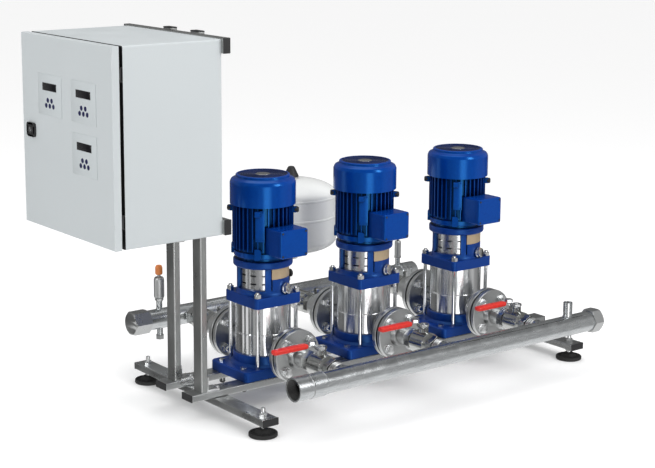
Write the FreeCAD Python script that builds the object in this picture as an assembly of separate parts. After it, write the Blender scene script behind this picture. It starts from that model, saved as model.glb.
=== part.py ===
import FreeCAD, Part
import math
import os
from FreeCAD import Placement, Rotation, Vector

# Booster set of three upright multistage pumps on a steel tube frame, with a control cabinet.
# Units are millimetres. X runs along the row of pumps, Y from the suction side to the delivery
# side, Z up. The origin is on the floor, in the middle of the front foot under the cabinet end.

os.makedirs("parts", exist_ok=True)

# Frame
foot_spacing_y = 574.0
foot_inset = 33.0
foot_lift = 35.0
tube_wide = 50.0
tube_high = 20.0
tube_wall = 2.0
tube_corner = 3.0
rail_start = -93.0
rail_length = 1340.0
rail_overhang = 92.0
rail_gauge = 132.0
cap_thick = 2.5
cap_spigot = 12.0
pad_radius = 39.0
pad_rim = 8.0
pad_height = 20.0
stud_radius = 6.0
stud_rise = 14.0
lock_nut_flats = 19.0
lock_nut_height = 9.0

# Posts and struts that carry the cabinet
post_wide = 40.0
post_deep = 20.0
post_top = 1053.0
strut_high = 40.0
strut_reach = 8.0
strut_cap_thick = 3.0

# Control cabinet
cabinet_wide = 465.0
cabinet_high = 506.0
cabinet_deep = 288.0
cabinet_bottom = 541.0
cabinet_offset_y = 11.0
cabinet_sheet = 2.0
cabinet_corner = 4.0
gutter_inset = 15.0
gutter_rise = 17.0
strut_drop = 4.0
door_gap = 10.0
door_return = 21.0
door_sheet = 2.0
seal_wide = 10.0
hinge_pin_radius = 1.5
hinge_knuckle_radius = 2.4
hinge_knuckle_length = 30.0
hinge_tab_thick = 3.0
hinge_inset_z = 70.0
hinge_clear = 0.3
plate_thick = 3.0
plate_margin = 26.0
plate_standoff = 14.0

# Keypads and lock on the door
keypad_wide = 124.0
keypad_high = 106.0
keypad_thick = 1.2
window_wide = 73.0
window_high = 20.0
window_thick = 0.8
window_rise = 21.0
keypad_pitch_y = 174.0
keypad_pitch_z = 133.0
keypad_low_y = 205.0
keypad_top_z = 895.0
lock_wide = 44.0
lock_high = 38.0
lock_thick = 6.0
lock_edge = 49.5
lock_height_z = 794.0
lock_core_radius = 8.0
lock_shank_radius = 9.0
lock_cam_reach = 34.0
lock_cam_thick = 3.0

# Pumps
pump_count = 3
pump_first_x = 206.0
pump_pitch = 367.0
base_wide = 243.0
base_deep = 177.0
base_thick = 28.0
base_corner = 14.0
collar_radius = 86.0
collar_height = 30.0
port_height = 75.0
port_face = 150.0
barrel_radius = 79.0
barrel_wall = 3.0
barrel_seam_height = 117.0
head_bottom_height = 199.5
head_side = 157.0
head_thick = 30.0
head_corner = 13.0
rod_offset = 66.0
rod_radius = 5.5
rod_nut_flats = 18.0
rod_nut_height = 10.0
lantern_radius = 74.0
lantern_inner = 66.0
lantern_foot = 14.0
window_height = 62.5
pillar_wide = 17.0
pillar_angle = 246.0
stool_flange_radius = 84.0
stool_flange_thick = 21.0
spigot_radius = 72.0
spigot_height = 8.0
motor_flange_radius = 82.0
motor_flange_thick = 15.0
motor_core_radius = 73.0
fin_radius = 86.0
fin_thick = 3.0
fin_count = 36
motor_length = 132.0
cowl_radius = 92.5
cowl_height = 83.0
cowl_wall = 2.5
cowl_top_radius = 76.0
shield_height = 12.0
grille_rings = 4
grille_spokes = 6
shaft_radius = 12.0
pump_shaft_radius = 9.0
running_clearance = 0.05
coupling_radius = 30.0
impeller_radius = 60.0
impeller_thick = 9.0
impeller_pitch = 34.0
impeller_count = 4
fan_radius = 70.0
fan_blades = 7
box_wide = 92.0
box_high = 78.0
box_reach = 144.5
box_shift = 3.0
box_root = 66.0
guard_thick = 1.0

# Pipework
pipe_radius = 30.15
pipe_wall = 3.65
socket_radius = 32.5
suction_socket = 92.0
delivery_socket = 62.0
socket_groove = 47.0
thread_radius = 28.3
thread_depth = 30.0
suction_offset = 395.0
delivery_offset = 392.0
suction_start = 18.0
suction_end = 1136.0
suction_cap_length = 36.0
delivery_start = 42.0
delivery_end = 1104.0
delivery_cap_length = 56.0
cap_flats = 65.0
cap_thread = 20.0
branch_radius = 24.0
branch_bore = 19.0
flange_radius = 75.0
flange_thick = 14.0
gasket_thick = 2.0
gasket_radius = 44.0
hub_radius = 36.0
hub_length = 15.0
bolt_circle_radius = 55.0
bolt_radius = 8.0
bolt_flats = 24.0
bolt_head = 10.0
hole_clearance = 1.0
valve_half = 58.0
valve_radius = 33.0
valve_offset = 272.0
delivery_valve_offset = 298.0
valve_end_flats = 54.0
valve_end_length = 22.0
ball_radius = 26.0
stem_radius = 6.0
gland_radius = 13.0
gland_height = 11.0
lever_length = 157.0
lever_rise = 63.0
lever_bend = (20.0, 40.0)
lever_thick = 3.0
lever_wide = 20.0
grip_length = 104.0
grip_thick = 12.0
wing_half = 33.0
nipple_inset = 107.0
nipple_radius = 13.5
nipple_rise = 72.0
seat_gap = 0.3

# Tank and transmitters on the delivery manifold
tank_x = 596.0
tank_radius = 142.0
tank_bottom_z = 288.0
tank_high = 236.0
tank_dome = 48.0
tank_seams = (121.0, 183.0)
tank_neck_radius = 8.0
tank_neck_offset = 24.0
tank_elbow_high = 16.0
tank_cap_height = 33.0
transmitter_inset = 64.0
transmitter_radius = 15.5
transmitter_body = 66.0
switch_inset = 65.0
switch_radius = 10.5
switch_body = 54.0
drain_inset = 65.0
drain_drop = 50.0

# Levels and lines worked out from the driving sizes
row_y = foot_spacing_y / 2
foot_spacing_x = rail_start + rail_length - rail_overhang
cross_length = foot_spacing_y + 2 * foot_inset
cross_top = foot_lift + tube_high
rail_top = cross_top + tube_high
rail_lines = (row_y - rail_gauge / 2, row_y + rail_gauge / 2)
pump_lines = [pump_first_x + pump_pitch * i for i in range(pump_count)]
port_z = rail_top + port_height
suction_y = row_y - suction_offset
delivery_y = row_y + delivery_offset
base_top = rail_top + base_thick
head_bottom = rail_top + head_bottom_height
head_top = head_bottom + head_thick
window_bottom = head_top + lantern_foot
window_top = window_bottom + window_height
stool_top = window_top + stool_flange_thick
motor_flange_top = stool_top + spigot_height + motor_flange_thick
motor_top = motor_flange_top + motor_length
flange_face = port_face + gasket_thick + flange_thick
cabinet_rear = -81.0
cabinet_front = cabinet_rear - cabinet_deep
post_front = cabinet_rear + 21.0
strut_deep = post_front - cabinet_rear
cabinet_mid_y = row_y + cabinet_offset_y
cabinet_near = cabinet_mid_y - cabinet_wide / 2
cabinet_far = cabinet_mid_y + cabinet_wide / 2
cabinet_top = cabinet_bottom + cabinet_high
door_back = cabinet_front - door_gap
door_front = door_back - door_return
hinge_x = cabinet_front - door_gap / 2
hinge_y = cabinet_near + 2.5
keypad_x = door_front
nipple_x = suction_end - nipple_inset
neck_x = tank_x - tank_neck_offset
transmitter_x = delivery_start + transmitter_inset
switch_x = delivery_end - switch_inset
drain_x = delivery_start + drain_inset


def box(x0, x1, y0, y1, z0, z1):
    return Part.makeBox(x1 - x0, y1 - y0, z1 - z0, Vector(x0, y0, z0))


def rod(radius, length, start, along=(0, 0, 1)):
    return Part.makeCylinder(radius, length, Vector(*start), Vector(*along))


def ring(outer, inner, length, start, along=(0, 0, 1)):
    return rod(outer, length, start, along).cut(rod(inner, length, start, along))


def turned(profile, centre=(0, 0, 0)):
    """Solid of revolution about the upright axis through centre, from (radius, height) points."""
    points = [Vector(r, 0, z) for r, z in profile]
    face = Part.Face(Part.makePolygon(points + points[:1]))
    solid = face.revolve(Vector(0, 0, 0), Vector(0, 0, 1), 360)
    return solid.translated(Vector(*centre))


def laid(shape, along, at):
    """Turn a shape made about +Z so that its axis points along, and set its origin at a point."""
    turn = Rotation(Vector(0, 0, 1), Vector(*along))
    copy = shape.copy()
    copy.Placement = Placement(Vector(*at), turn).multiply(copy.Placement)
    return copy


def hexagon(flats, length, start=(0, 0, 0), along=(0, 0, 1), turn=0.0):
    corner = flats / math.sqrt(3)
    angles = [math.radians(60 * i + turn) for i in range(6)]
    points = [Vector(corner * math.cos(a), corner * math.sin(a), 0) for a in angles]
    prism = Part.Face(Part.makePolygon(points + points[:1])).extrude(Vector(0, 0, length))
    return laid(prism, along, start)


def nut(flats, height, bore, start, along=(0, 0, 1)):
    return hexagon(flats, height, start, along).cut(rod(bore, height, start, along))


def rounded_plate(wide, deep, thick, corner, centre, bottom):
    x, y = centre
    plate = box(x - wide / 2, x + wide / 2, y - deep / 2, y + deep / 2, bottom, bottom + thick)
    upright = [e for e in plate.Edges if abs(e.Vertexes[0].Z - e.Vertexes[1].Z) > thick / 2]
    return plate.makeFillet(min(corner, wide / 2.2, deep / 2.2), upright)


def edges_along(shape, axis, length):
    """Straight edges of one length that run along axis 0, 1 or 2."""
    found = []
    for edge in shape.Edges:
        a, b = edge.Vertexes[0].Point, edge.Vertexes[-1].Point
        if abs(abs(a[axis] - b[axis]) - length) < 0.01 and abs(edge.Length - length) < 0.01:
            found.append(edge)
    return found


def square_tube(axis, length, wide, high, start, wall=tube_wall):
    """Hollow rectangular tube; axis 0, 1 or 2; start is the low corner; wide, high in axis order."""
    sizes = [wide, high]
    sizes.insert(axis, length)
    outer = Part.makeBox(*sizes, Vector(*start))
    outer = outer.makeFillet(tube_corner, edges_along(outer, axis, length))
    inner_sizes = [s - 2 * wall for s in sizes]
    inner_sizes[axis] = length
    inner_start = [s + wall for s in start]
    inner_start[axis] = start[axis]
    return outer.cut(Part.makeBox(*inner_sizes, Vector(*inner_start)))


def save(node, *solids):
    shape = solids[0] if len(solids) == 1 else Part.makeCompound(list(solids))
    shape.exportStep("parts/" + node + ".step")


def mirrored_x(pairs):
    return [(sx, sy) for sx in (-1, 1) for sy in pairs]


corners = mirrored_x((-1, 1))


def frame_tubes():
    """Two cross tubes on the feet and two rails on top of them, drilled for studs and bolts."""
    feet = [(x, y) for x in (0.0, foot_spacing_x) for y in (0.0, foot_spacing_y)]
    crossings = [(x, y) for x in (0.0, foot_spacing_x) for y in rail_lines]
    bolt_holes = [rod(bolt_small + 0.5, 2 * tube_high, (x, y, foot_lift)) for x, y in crossings]
    stud_holes = [rod(stud_radius + 0.5, tube_high, (x, y, foot_lift)) for x, y in feet]
    cross = []
    for x in (0.0, foot_spacing_x):
        start = (x - tube_wide / 2, -foot_inset, foot_lift)
        tube = square_tube(1, cross_length, tube_wide, tube_high, start)
        cross.append(tube.cut(stud_holes + bolt_holes))
    pump_holes = []
    for x in pump_lines:
        for sx, sy in corners:
            place = (x + sx * hold_down_x, row_y + sy * hold_down_y, cross_top)
            pump_holes.append(rod(bolt_small + 0.5, tube_high, place))
    rails = []
    for y in rail_lines:
        start = (rail_start, y - tube_wide / 2, cross_top)
        tube = square_tube(0, rail_length, tube_wide, tube_high, start)
        rails.append(tube.cut(bolt_holes + pump_holes))
    save("cross_tubes", *cross)
    save("frame_rails", *rails)


def plug(axis, sign, at, wide, high, thick=cap_thick, wall=tube_wall):
    """Plastic end plug: a plate that covers the tube's end and a spigot that sits in its bore."""
    play = 0.15
    plate_sizes = [wide, high]
    plate_sizes.insert(axis, thick)
    spigot_sizes = [wide - 2 * (wall + play), high - 2 * (wall + play)]
    spigot_sizes.insert(axis, cap_spigot)
    plate_low = [c - s / 2 for c, s in zip(at, plate_sizes)]
    spigot_low = [c - s / 2 for c, s in zip(at, spigot_sizes)]
    plate_low[axis] = at[axis] if sign > 0 else at[axis] - thick
    spigot_low[axis] = at[axis] - cap_spigot if sign > 0 else at[axis]
    plate = Part.makeBox(*plate_sizes, Vector(*plate_low))
    plate = plate.makeChamfer(min(1.0, thick / 3), edges_along(plate, axis, thick))
    return plate.fuse(Part.makeBox(*spigot_sizes, Vector(*spigot_low)))


def end_caps():
    caps = []
    cross_z = foot_lift + tube_high / 2
    rail_z = cross_top + tube_high / 2
    for x in (0.0, foot_spacing_x):
        caps.append(plug(1, -1, (x, -foot_inset, cross_z), tube_wide, tube_high))
        caps.append(plug(1, 1, (x, cross_length - foot_inset, cross_z), tube_wide, tube_high))
    for y in rail_lines:
        caps.append(plug(0, -1, (rail_start, y, rail_z), tube_wide, tube_high))
        caps.append(plug(0, 1, (rail_start + rail_length, y, rail_z), tube_wide, tube_high))
        post_x = post_front + post_deep / 2
        caps.append(plug(2, 1, (post_x, y, post_top), post_deep, post_wide, strut_cap_thick))
    for z in strut_levels:
        x = cabinet_rear + strut_deep / 2
        low = cabinet_near - strut_reach
        high = cabinet_far + strut_reach
        caps.append(plug(1, -1, (x, low, z), strut_deep, strut_high, strut_cap_thick))
        caps.append(plug(1, 1, (x, high, z), strut_deep, strut_high, strut_cap_thick))
    save("end_caps", *caps)


def feet():
    """Four levelling feet: a rubber-shod pad, a threaded stud and two nuts that grip the tube."""
    pads = []
    studs = []
    for x in (0.0, foot_spacing_x):
        for y in (0.0, foot_spacing_y):
            profile = [(0, 0), (pad_radius - 2, 0), (pad_radius, 2), (pad_radius, pad_rim - 1.5),
                       (pad_radius - 1.5, pad_rim), (pad_radius * 0.5, pad_rim + 3),
                       (stud_radius + 6, pad_height), (stud_radius, pad_height),
                       (stud_radius, pad_rim), (0, pad_rim)]
            pads.append(turned(profile, (x, y, 0)))
            stud_top = cross_top + lock_nut_height + stud_rise
            stud = turned([(0, 0), (stud_radius, 0), (stud_radius, stud_top - pad_rim - 1.5),
                           (stud_radius - 1.5, stud_top - pad_rim), (0, stud_top - pad_rim)],
                          (x, y, pad_rim))
            bore = stud_radius + running_clearance
            low_nut = nut(lock_nut_flats, lock_nut_height, bore, (x, y, foot_lift - lock_nut_height))
            top_nut = nut(lock_nut_flats, lock_nut_height, bore, (x, y, cross_top))
            studs += [stud, low_nut, top_nut]
    save("foot_pads", *pads)
    save("foot_studs", *studs)


def hex_bolt(radius, flats, head, shank, start, along=(0, 0, 1)):
    """Bolt with its head above start and its shank going down below it, against along."""
    body = hexagon(flats, head).fuse(rod(radius, shank, (0, 0, -shank)))
    return laid(body, along, start)


def cabinet_supports():
    """Two posts on the rails and two struts across them that the cabinet's back is bolted to."""
    posts = []
    for y in rail_lines:
        start = (post_front, y - post_wide / 2, rail_top)
        posts.append(square_tube(2, post_top - rail_top, post_deep, post_wide, start))
    struts = []
    for z in strut_levels:
        start = (cabinet_rear, cabinet_near - strut_reach, z - strut_high / 2)
        length = cabinet_wide + 2 * strut_reach
        tube = square_tube(1, length, strut_deep, strut_high, start)
        holes = [rod(bolt_small + 0.5, strut_deep, (cabinet_rear, y, z), (1, 0, 0))
                 for y in strut_bolt_lines]
        struts.append(tube.cut(holes))
    post_holes = [rod(bolt_small + 0.5, post_deep, (post_front, y, z), (1, 0, 0))
                  for y in rail_lines for z in strut_levels]
    save("cabinet_posts", *[p.cut(post_holes) for p in posts])
    save("cabinet_struts", *struts)


def frame_bolts():
    """Bolts of the frame, the hold-down bolts of the pumps and the angles under the posts."""
    bolts = []
    for x in (0.0, foot_spacing_x):
        for y in rail_lines:
            shank = 2 * tube_high + 8
            bolts.append(hex_bolt(bolt_small, small_flats, small_head, shank, (x, y, rail_top)))
            place = (x, y, foot_lift - 6)
            bolts.append(nut(small_flats, 6, bolt_small + running_clearance, place))
    for x in pump_lines:
        for sx, sy in corners:
            place = (x + sx * hold_down_x, row_y + sy * hold_down_y, base_top)
            shank = base_thick + tube_high + small_nut + 3
            bolts.append(hex_bolt(bolt_small, small_flats, small_head, shank, place))
            under = (place[0], place[1], cross_top - small_nut)
            bolts.append(nut(small_flats, small_nut, bolt_small + running_clearance, under))
    for z in strut_levels:
        for y in rail_lines:
            shank = strut_deep + post_deep + cabinet_sheet
            place = (post_front + post_deep, y, z)
            bolts.append(hex_bolt(bolt_small, small_flats, small_head, shank, place, (1, 0, 0)))
    for y in rail_lines:
        x = post_front + post_deep
        foot = box(x, x + angle_leg, y - angle_wide / 2, y + angle_wide / 2,
                   rail_top, rail_top + angle_thick)
        upright = box(x, x + angle_thick, y - angle_wide / 2, y + angle_wide / 2,
                      rail_top, rail_top + angle_leg)
        bolts.append(foot.fuse(upright).removeSplitter())
    save("frame_bolts", *bolts)


def cabinet_shell():
    """Folded sheet case, open to the front, with a rain gutter round the opening."""
    outer = box(cabinet_front, cabinet_rear, cabinet_near, cabinet_far, cabinet_bottom, cabinet_top)
    outer = outer.makeFillet(cabinet_corner, edges_along(outer, 0, cabinet_deep))
    t = cabinet_sheet
    inner = box(cabinet_front + t, cabinet_rear - t, cabinet_near + t, cabinet_far - t,
                cabinet_bottom + t, cabinet_top - t)
    g = gutter_inset
    lip = box(cabinet_front - gutter_rise, cabinet_front + t, cabinet_near + g, cabinet_far - g,
              cabinet_bottom + g, cabinet_top - g)
    mouth = box(cabinet_front - gutter_rise, cabinet_front + t, cabinet_near + g + t,
                cabinet_far - g - t, cabinet_bottom + g + t, cabinet_top - g - t)
    shell = outer.cut(inner).fuse(lip).cut(mouth)
    for z in hinge_levels:
        for end in (0, 1):
            reach = hinge_knuckle_length / 2 + hinge_clear
            low = z + reach if end else z - reach - hinge_tab_thick
            tab = box(hinge_x - 2.6, cabinet_front, hinge_y - 2.4, hinge_y + 2.4,
                      low, low + hinge_tab_thick)
            shell = shell.fuse(tab)
        span = hinge_knuckle_length + 2 * (hinge_clear + hinge_tab_thick)
        shell = shell.fuse(rod(hinge_pin_radius, span, (hinge_x, hinge_y, z - span / 2)))
    holes = [rod(bolt_small + 0.5, t, (cabinet_rear - t, y, z), (1, 0, 0))
             for y in rail_lines for z in strut_levels]
    holes += [rod(gland_hole, t, (gland_x, y, cabinet_bottom)) for y in gland_lines]
    save("cabinet_shell", shell.cut(holes).removeSplitter())


def cabinet_inside():
    """Mounting plate on four stand-offs, three drive modules, and a rail of terminal blocks."""
    back = cabinet_rear - cabinet_sheet
    x = back - plate_standoff
    m = plate_margin
    plate = box(x - plate_thick, x, cabinet_near + m, cabinet_far - m,
                cabinet_bottom + m, cabinet_top - m)
    solids = [plate]
    for y in (cabinet_near + m + 15, cabinet_far - m - 15):
        for z in (cabinet_bottom + m + 15, cabinet_top - m - 15):
            solids.append(rod(6, plate_standoff, (x, y, z), (1, 0, 0)))
    save("mounting_plate", *solids)
    front = x - plate_thick
    drives = []
    for i in range(pump_count):
        y = cabinet_mid_y + (i - 1) * drive_pitch
        z0 = cabinet_top - m - 20 - drive_high
        case = box(front - drive_deep, front, y - drive_wide / 2, y + drive_wide / 2,
                   z0, z0 + drive_high)
        case = case.makeFillet(5, edges_along(case, 2, drive_high))
        for j in range(5):
            slot_y = y - drive_wide / 2 + 14 + j * (drive_wide - 28) / 4
            case = case.cut(box(front - drive_deep + 12, front - 12, slot_y - 3, slot_y + 3,
                                z0 + drive_high - 12, z0 + drive_high))
        face = box(front - drive_deep - 4, front - drive_deep, y - drive_wide / 4, y + drive_wide / 4,
                   z0 + drive_high / 3, z0 + drive_high * 0.62)
        drives.append(case.fuse(face))
    save("drive_units", *drives)
    rail_z = cabinet_bottom + m + 60
    rail = box(front - 7.5, front, cabinet_near + m + 15, cabinet_far - m - 15,
               rail_z - 17.5, rail_z + 17.5)
    rail = rail.cut(box(front - 6.5, front, cabinet_near + m + 15, cabinet_far - m - 15,
                        rail_z - 12, rail_z + 12))
    rail = rail.cut(box(front - 6.5, front - 1, cabinet_near + m + 15, cabinet_far - m - 15,
                        rail_z - 17.5, rail_z - 13))
    rail = rail.cut(box(front - 6.5, front - 1, cabinet_near + m + 15, cabinet_far - m - 15,
                        rail_z + 13, rail_z + 17.5))
    blocks = []
    for i in range(terminal_count):
        y = cabinet_mid_y + (i - (terminal_count - 1) / 2) * terminal_pitch
        blocks.append(box(front - 45, front - 7.5, y - terminal_pitch / 2 + 0.2,
                          y + terminal_pitch / 2 - 0.2, rail_z - 28, rail_z + 28))
    save("terminal_rail", rail, *blocks)
    glands = []
    for y in gland_lines:
        top = cabinet_bottom + cabinet_sheet
        collar = ring(gland_hole + 6, gland_hole - 4, 6, (gland_x, y, top))
        neck = ring(gland_hole - 0.3, gland_hole - 4, cabinet_sheet, (gland_x, y, cabinet_bottom))
        low = cabinet_bottom - 24
        dome = turned([(gland_hole - 4, 0), (gland_hole + 1, 0), (gland_hole + 5, 5),
                       (gland_hole + 5, 24), (gland_hole - 4, 24)], (gland_x, y, low))
        glands.append(collar.fuse([neck, dome]).removeSplitter())
    save("cable_glands", *glands)


def cabinet_door():
    """Door pan with folded returns, hinge knuckles, the foam seal inside it and the keypads."""
    t = door_sheet
    pan = box(door_front, door_back, cabinet_near, cabinet_far, cabinet_bottom, cabinet_top)
    upright = edges_along(pan, 2, cabinet_high) + edges_along(pan, 1, cabinet_wide)
    pan = pan.makeFillet(2.5, [e for e in upright if e.CenterOfMass.x < door_front + 0.1])
    pan = pan.cut(box(door_front + t, door_back, cabinet_near + t, cabinet_far - t,
                      cabinet_bottom + t, cabinet_top - t))
    for z in hinge_levels:
        knuckle = rod(hinge_knuckle_radius, hinge_knuckle_length,
                      (hinge_x, hinge_y, z - hinge_knuckle_length / 2))
        leaf = box(door_back - 8, hinge_x, hinge_y - 1.2, hinge_y + 1.2,
                   z - hinge_knuckle_length / 2, z + hinge_knuckle_length / 2)
        pan = pan.fuse([knuckle, leaf])
        pan = pan.cut(rod(hinge_pin_radius + running_clearance, hinge_knuckle_length,
                          (hinge_x, hinge_y, z - hinge_knuckle_length / 2)))
    core_hole = rod(lock_shank_radius + 0.2, t, (door_front, lock_y, lock_height_z), (1, 0, 0))
    save("cabinet_door", pan.cut(core_hole).removeSplitter())
    inset = gutter_inset + cabinet_sheet / 2 - seal_wide / 2
    back = cabinet_front - gutter_rise - seat_gap
    seal = box(door_front + t, back, cabinet_near + inset, cabinet_far - inset,
               cabinet_bottom + inset, cabinet_top - inset)
    w = seal_wide
    seal = seal.cut(box(door_front + t, back, cabinet_near + inset + w, cabinet_far - inset - w,
                        cabinet_bottom + inset + w, cabinet_top - inset - w))
    save("door_seal", seal)
    foils = []
    panes = []
    for y, z in keypad_places:
        foil = box(keypad_x - keypad_thick, keypad_x, y - keypad_wide / 2, y + keypad_wide / 2,
                   z - keypad_high / 2, z + keypad_high / 2)
        foils.append(foil.makeFillet(4, edges_along(foil, 0, keypad_thick)))
        pane_z = z + window_rise
        front = keypad_x - keypad_thick
        panes.append(box(front - window_thick, front, y - window_wide / 2, y + window_wide / 2,
                         pane_z - window_high / 2, pane_z + window_high / 2))
    save("keypads", *foils, *panes)


def door_lock():
    """Quarter-turn lock: an escutcheon with its shank, and the core that turns the cam behind."""
    y, z = lock_y, lock_height_z
    plate = box(door_front - lock_thick, door_front, y - lock_wide / 2, y + lock_wide / 2,
                z - lock_high / 2, z + lock_high / 2)
    plate = plate.makeFillet(9, edges_along(plate, 0, lock_thick))
    shank_end = door_front + door_sheet + 10
    shank = rod(lock_shank_radius, shank_end - door_front, (door_front, y, z), (1, 0, 0))
    core_start = door_front - lock_thick - 1
    bore = rod(lock_core_radius + running_clearance, 60, (core_start, y, z), (1, 0, 0))
    save("lock_housing", plate.fuse(shank).cut(bore))
    core = rod(lock_core_radius, shank_end - core_start + 1, (core_start, y, z), (1, 0, 0))
    slot = box(core_start, core_start + 3, y - 1.5, y + 1.5, z - 6, z + 6)
    cam_x = shank_end + 1
    cam = box(cam_x, cam_x + lock_cam_thick, y - 9, y + 9, z - 9, z + lock_cam_reach)
    cam = cam.makeFillet(7, edges_along(cam, 0, lock_cam_thick))
    save("lock_cam", core.cut(slot).fuse(cam).removeSplitter())


def pump_base(x):
    """Cast foot: a bolted plate and a round collar that rises round the barrel's lower end."""
    plate = rounded_plate(base_wide, base_deep, base_thick, base_corner, (x, row_y), rail_top)
    top_edges = [e for e in plate.Edges if abs(e.BoundBox.ZMin - base_top) < 0.01]
    plate = plate.makeChamfer(3, top_edges)
    under = rounded_plate(base_wide - 24, base_deep - 24, base_thick - 12, base_corner - 4,
                          (x, row_y), rail_top)
    ribs = [box(x - base_wide / 2 + 8, x + base_wide / 2 - 8, row_y + s * 40 - 4, row_y + s * 40 + 4,
                rail_top, rail_top + base_thick - 12) for s in (-1, 1)]
    bosses = [rod(14, base_thick - 12, (x + sx * px, row_y + sy * py, rail_top))
              for sx, sy in corners for px, py in ((hold_down_x, hold_down_y),
                                                   (rod_offset, rod_offset))]
    under = under.cut(ribs + bosses)
    collar = turned([(0, base_thick - 8), (collar_radius + 8, base_thick - 8),
                     (collar_radius + 8, base_thick), (collar_radius, base_thick + 7),
                     (collar_radius, base_thick + collar_height - 2),
                     (collar_radius - 2, base_thick + collar_height),
                     (barrel_radius + seat_gap, base_thick + collar_height),
                     (barrel_radius + seat_gap, base_thick + 9), (0, base_thick + 9)],
                    (x, row_y, rail_top))
    casting = plate.cut(under).fuse(collar)
    port_cut = rod(branch_radius + seat_gap, 2 * collar_radius + 20,
                   (x, row_y - collar_radius - 10, port_z), (0, 1, 0))
    throat = box(x - branch_radius - seat_gap, x + branch_radius + seat_gap,
                 row_y - collar_radius - 10, row_y + collar_radius + 10, port_z, port_z + 40)
    holes = []
    for sx, sy in corners:
        holes.append(rod(bolt_small + 0.5, base_thick,
                         (x + sx * hold_down_x, row_y + sy * hold_down_y, rail_top)))
        holes.append(rod(rod_radius + running_clearance, base_thick + 12,
                         (x + sx * rod_offset, row_y + sy * rod_offset, rod_bottom)))
    return casting.cut([port_cut, throat] + holes).removeSplitter()


def pump_barrel(x):
    """Stainless barrel with its seam, the two port stubs and their lap rings."""
    bottom = base_top + 9 - rail_top
    r, w = barrel_radius, barrel_wall
    outer = turned([(0, bottom), (r, bottom), (r, barrel_seam_height - 4),
                    (r + 2, barrel_seam_height - 2), (r + 2, barrel_seam_height + 2),
                    (r - 1, barrel_seam_height + 4), (r - 1, head_bottom_height),
                    (0, head_bottom_height)], (x, row_y, rail_top))
    stubs = rod(branch_radius, 2 * port_face, (x, row_y - port_face, port_z), (0, 1, 0))
    laps = [rod(gasket_radius, 4, (x, row_y + s * port_face - (4 if s > 0 else 0), port_z),
                (0, 1, 0)) for s in (-1, 1)]
    inner = turned([(0, bottom + w), (r - w, bottom + w), (r - w, head_bottom_height),
                    (0, head_bottom_height)], (x, row_y, rail_top))
    bore = rod(branch_bore, 2 * port_face, (x, row_y - port_face, port_z), (0, 1, 0))
    return outer.fuse([stubs] + laps).cut([inner, bore]).removeSplitter()


def motor_bracket(x):
    """Pump head and motor stool in one casting: square head, four pillars, round top flange."""
    head = rounded_plate(head_side, head_side, head_thick, head_corner, (x, row_y), head_bottom)
    rims = [e for e in head.Edges if abs(e.BoundBox.ZMin - head_top) < 0.01]
    head = head.makeFillet(3, rims)
    foot = turned([(0, 0), (lantern_radius + 4, 0), (lantern_radius, 6),
                   (lantern_radius, lantern_foot), (0, lantern_foot)], (x, row_y, head_top))
    flange = rod(stool_flange_radius, stool_flange_thick, (x, row_y, window_top))
    low_rim = [e for e in flange.Edges if len(e.Vertexes) == 1 and e.BoundBox.ZMax < window_top + 0.1]
    flange = flange.makeFillet(6, low_rim)
    top_rim = [e for e in flange.Edges if abs(e.BoundBox.ZMin - stool_top) < 0.1
               and abs(e.Length - 2 * math.pi * stool_flange_radius) < 0.1]
    flange = flange.makeFillet(4, top_rim)
    pillars = []
    wall = ring(lantern_radius, lantern_inner, window_height, (x, row_y, window_bottom))
    for i in range(4):
        blade = box(0, lantern_radius + 1, -pillar_wide / 2, pillar_wide / 2,
                    window_bottom, window_top)
        blade.rotate(Vector(0, 0, 0), Vector(0, 0, 1), pillar_angle + 90 * i)
        pillars.append(wall.common(blade.translated(Vector(x, row_y, 0))))
    well = rod(coupling_radius + 8, lantern_foot + 1, (x, row_y, head_top))
    opening = rod(coupling_radius + 8, stool_flange_thick, (x, row_y, window_top))
    shaft_way = rod(pump_shaft_radius + running_clearance, head_thick, (x, row_y, head_bottom))
    rod_holes = [rod(rod_radius + 0.5, head_thick, (x + sx * rod_offset, row_y + sy * rod_offset,
                                                    head_bottom)) for sx, sy in corners]
    seats = [rod(rod_nut_flats * 0.62, lantern_foot, (x + sx * rod_offset, row_y + sy * rod_offset,
                                                      head_top)) for sx, sy in corners]
    plug_hole = rod(plug_shank + 0.2, 9, plug_place(x, plug_face + 1), plug_inward())
    boss = rod(15, plug_face - lantern_inner - 0.5, plug_place(x, plug_face), plug_inward())
    casting = head.fuse([foot, flange, boss] + pillars)
    return casting.cut([well, opening, shaft_way, plug_hole] + rod_holes + seats).removeSplitter()


def plug_place(x, radius):
    a = math.radians(plug_angle)
    return (x + radius * math.cos(a), row_y + radius * math.sin(a), head_top + plug_rise)


def plug_inward():
    a = math.radians(plug_angle)
    return (-math.cos(a), -math.sin(a), 0)


def plug_outward():
    a = math.radians(plug_angle)
    return (math.cos(a), math.sin(a), 0)


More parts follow.
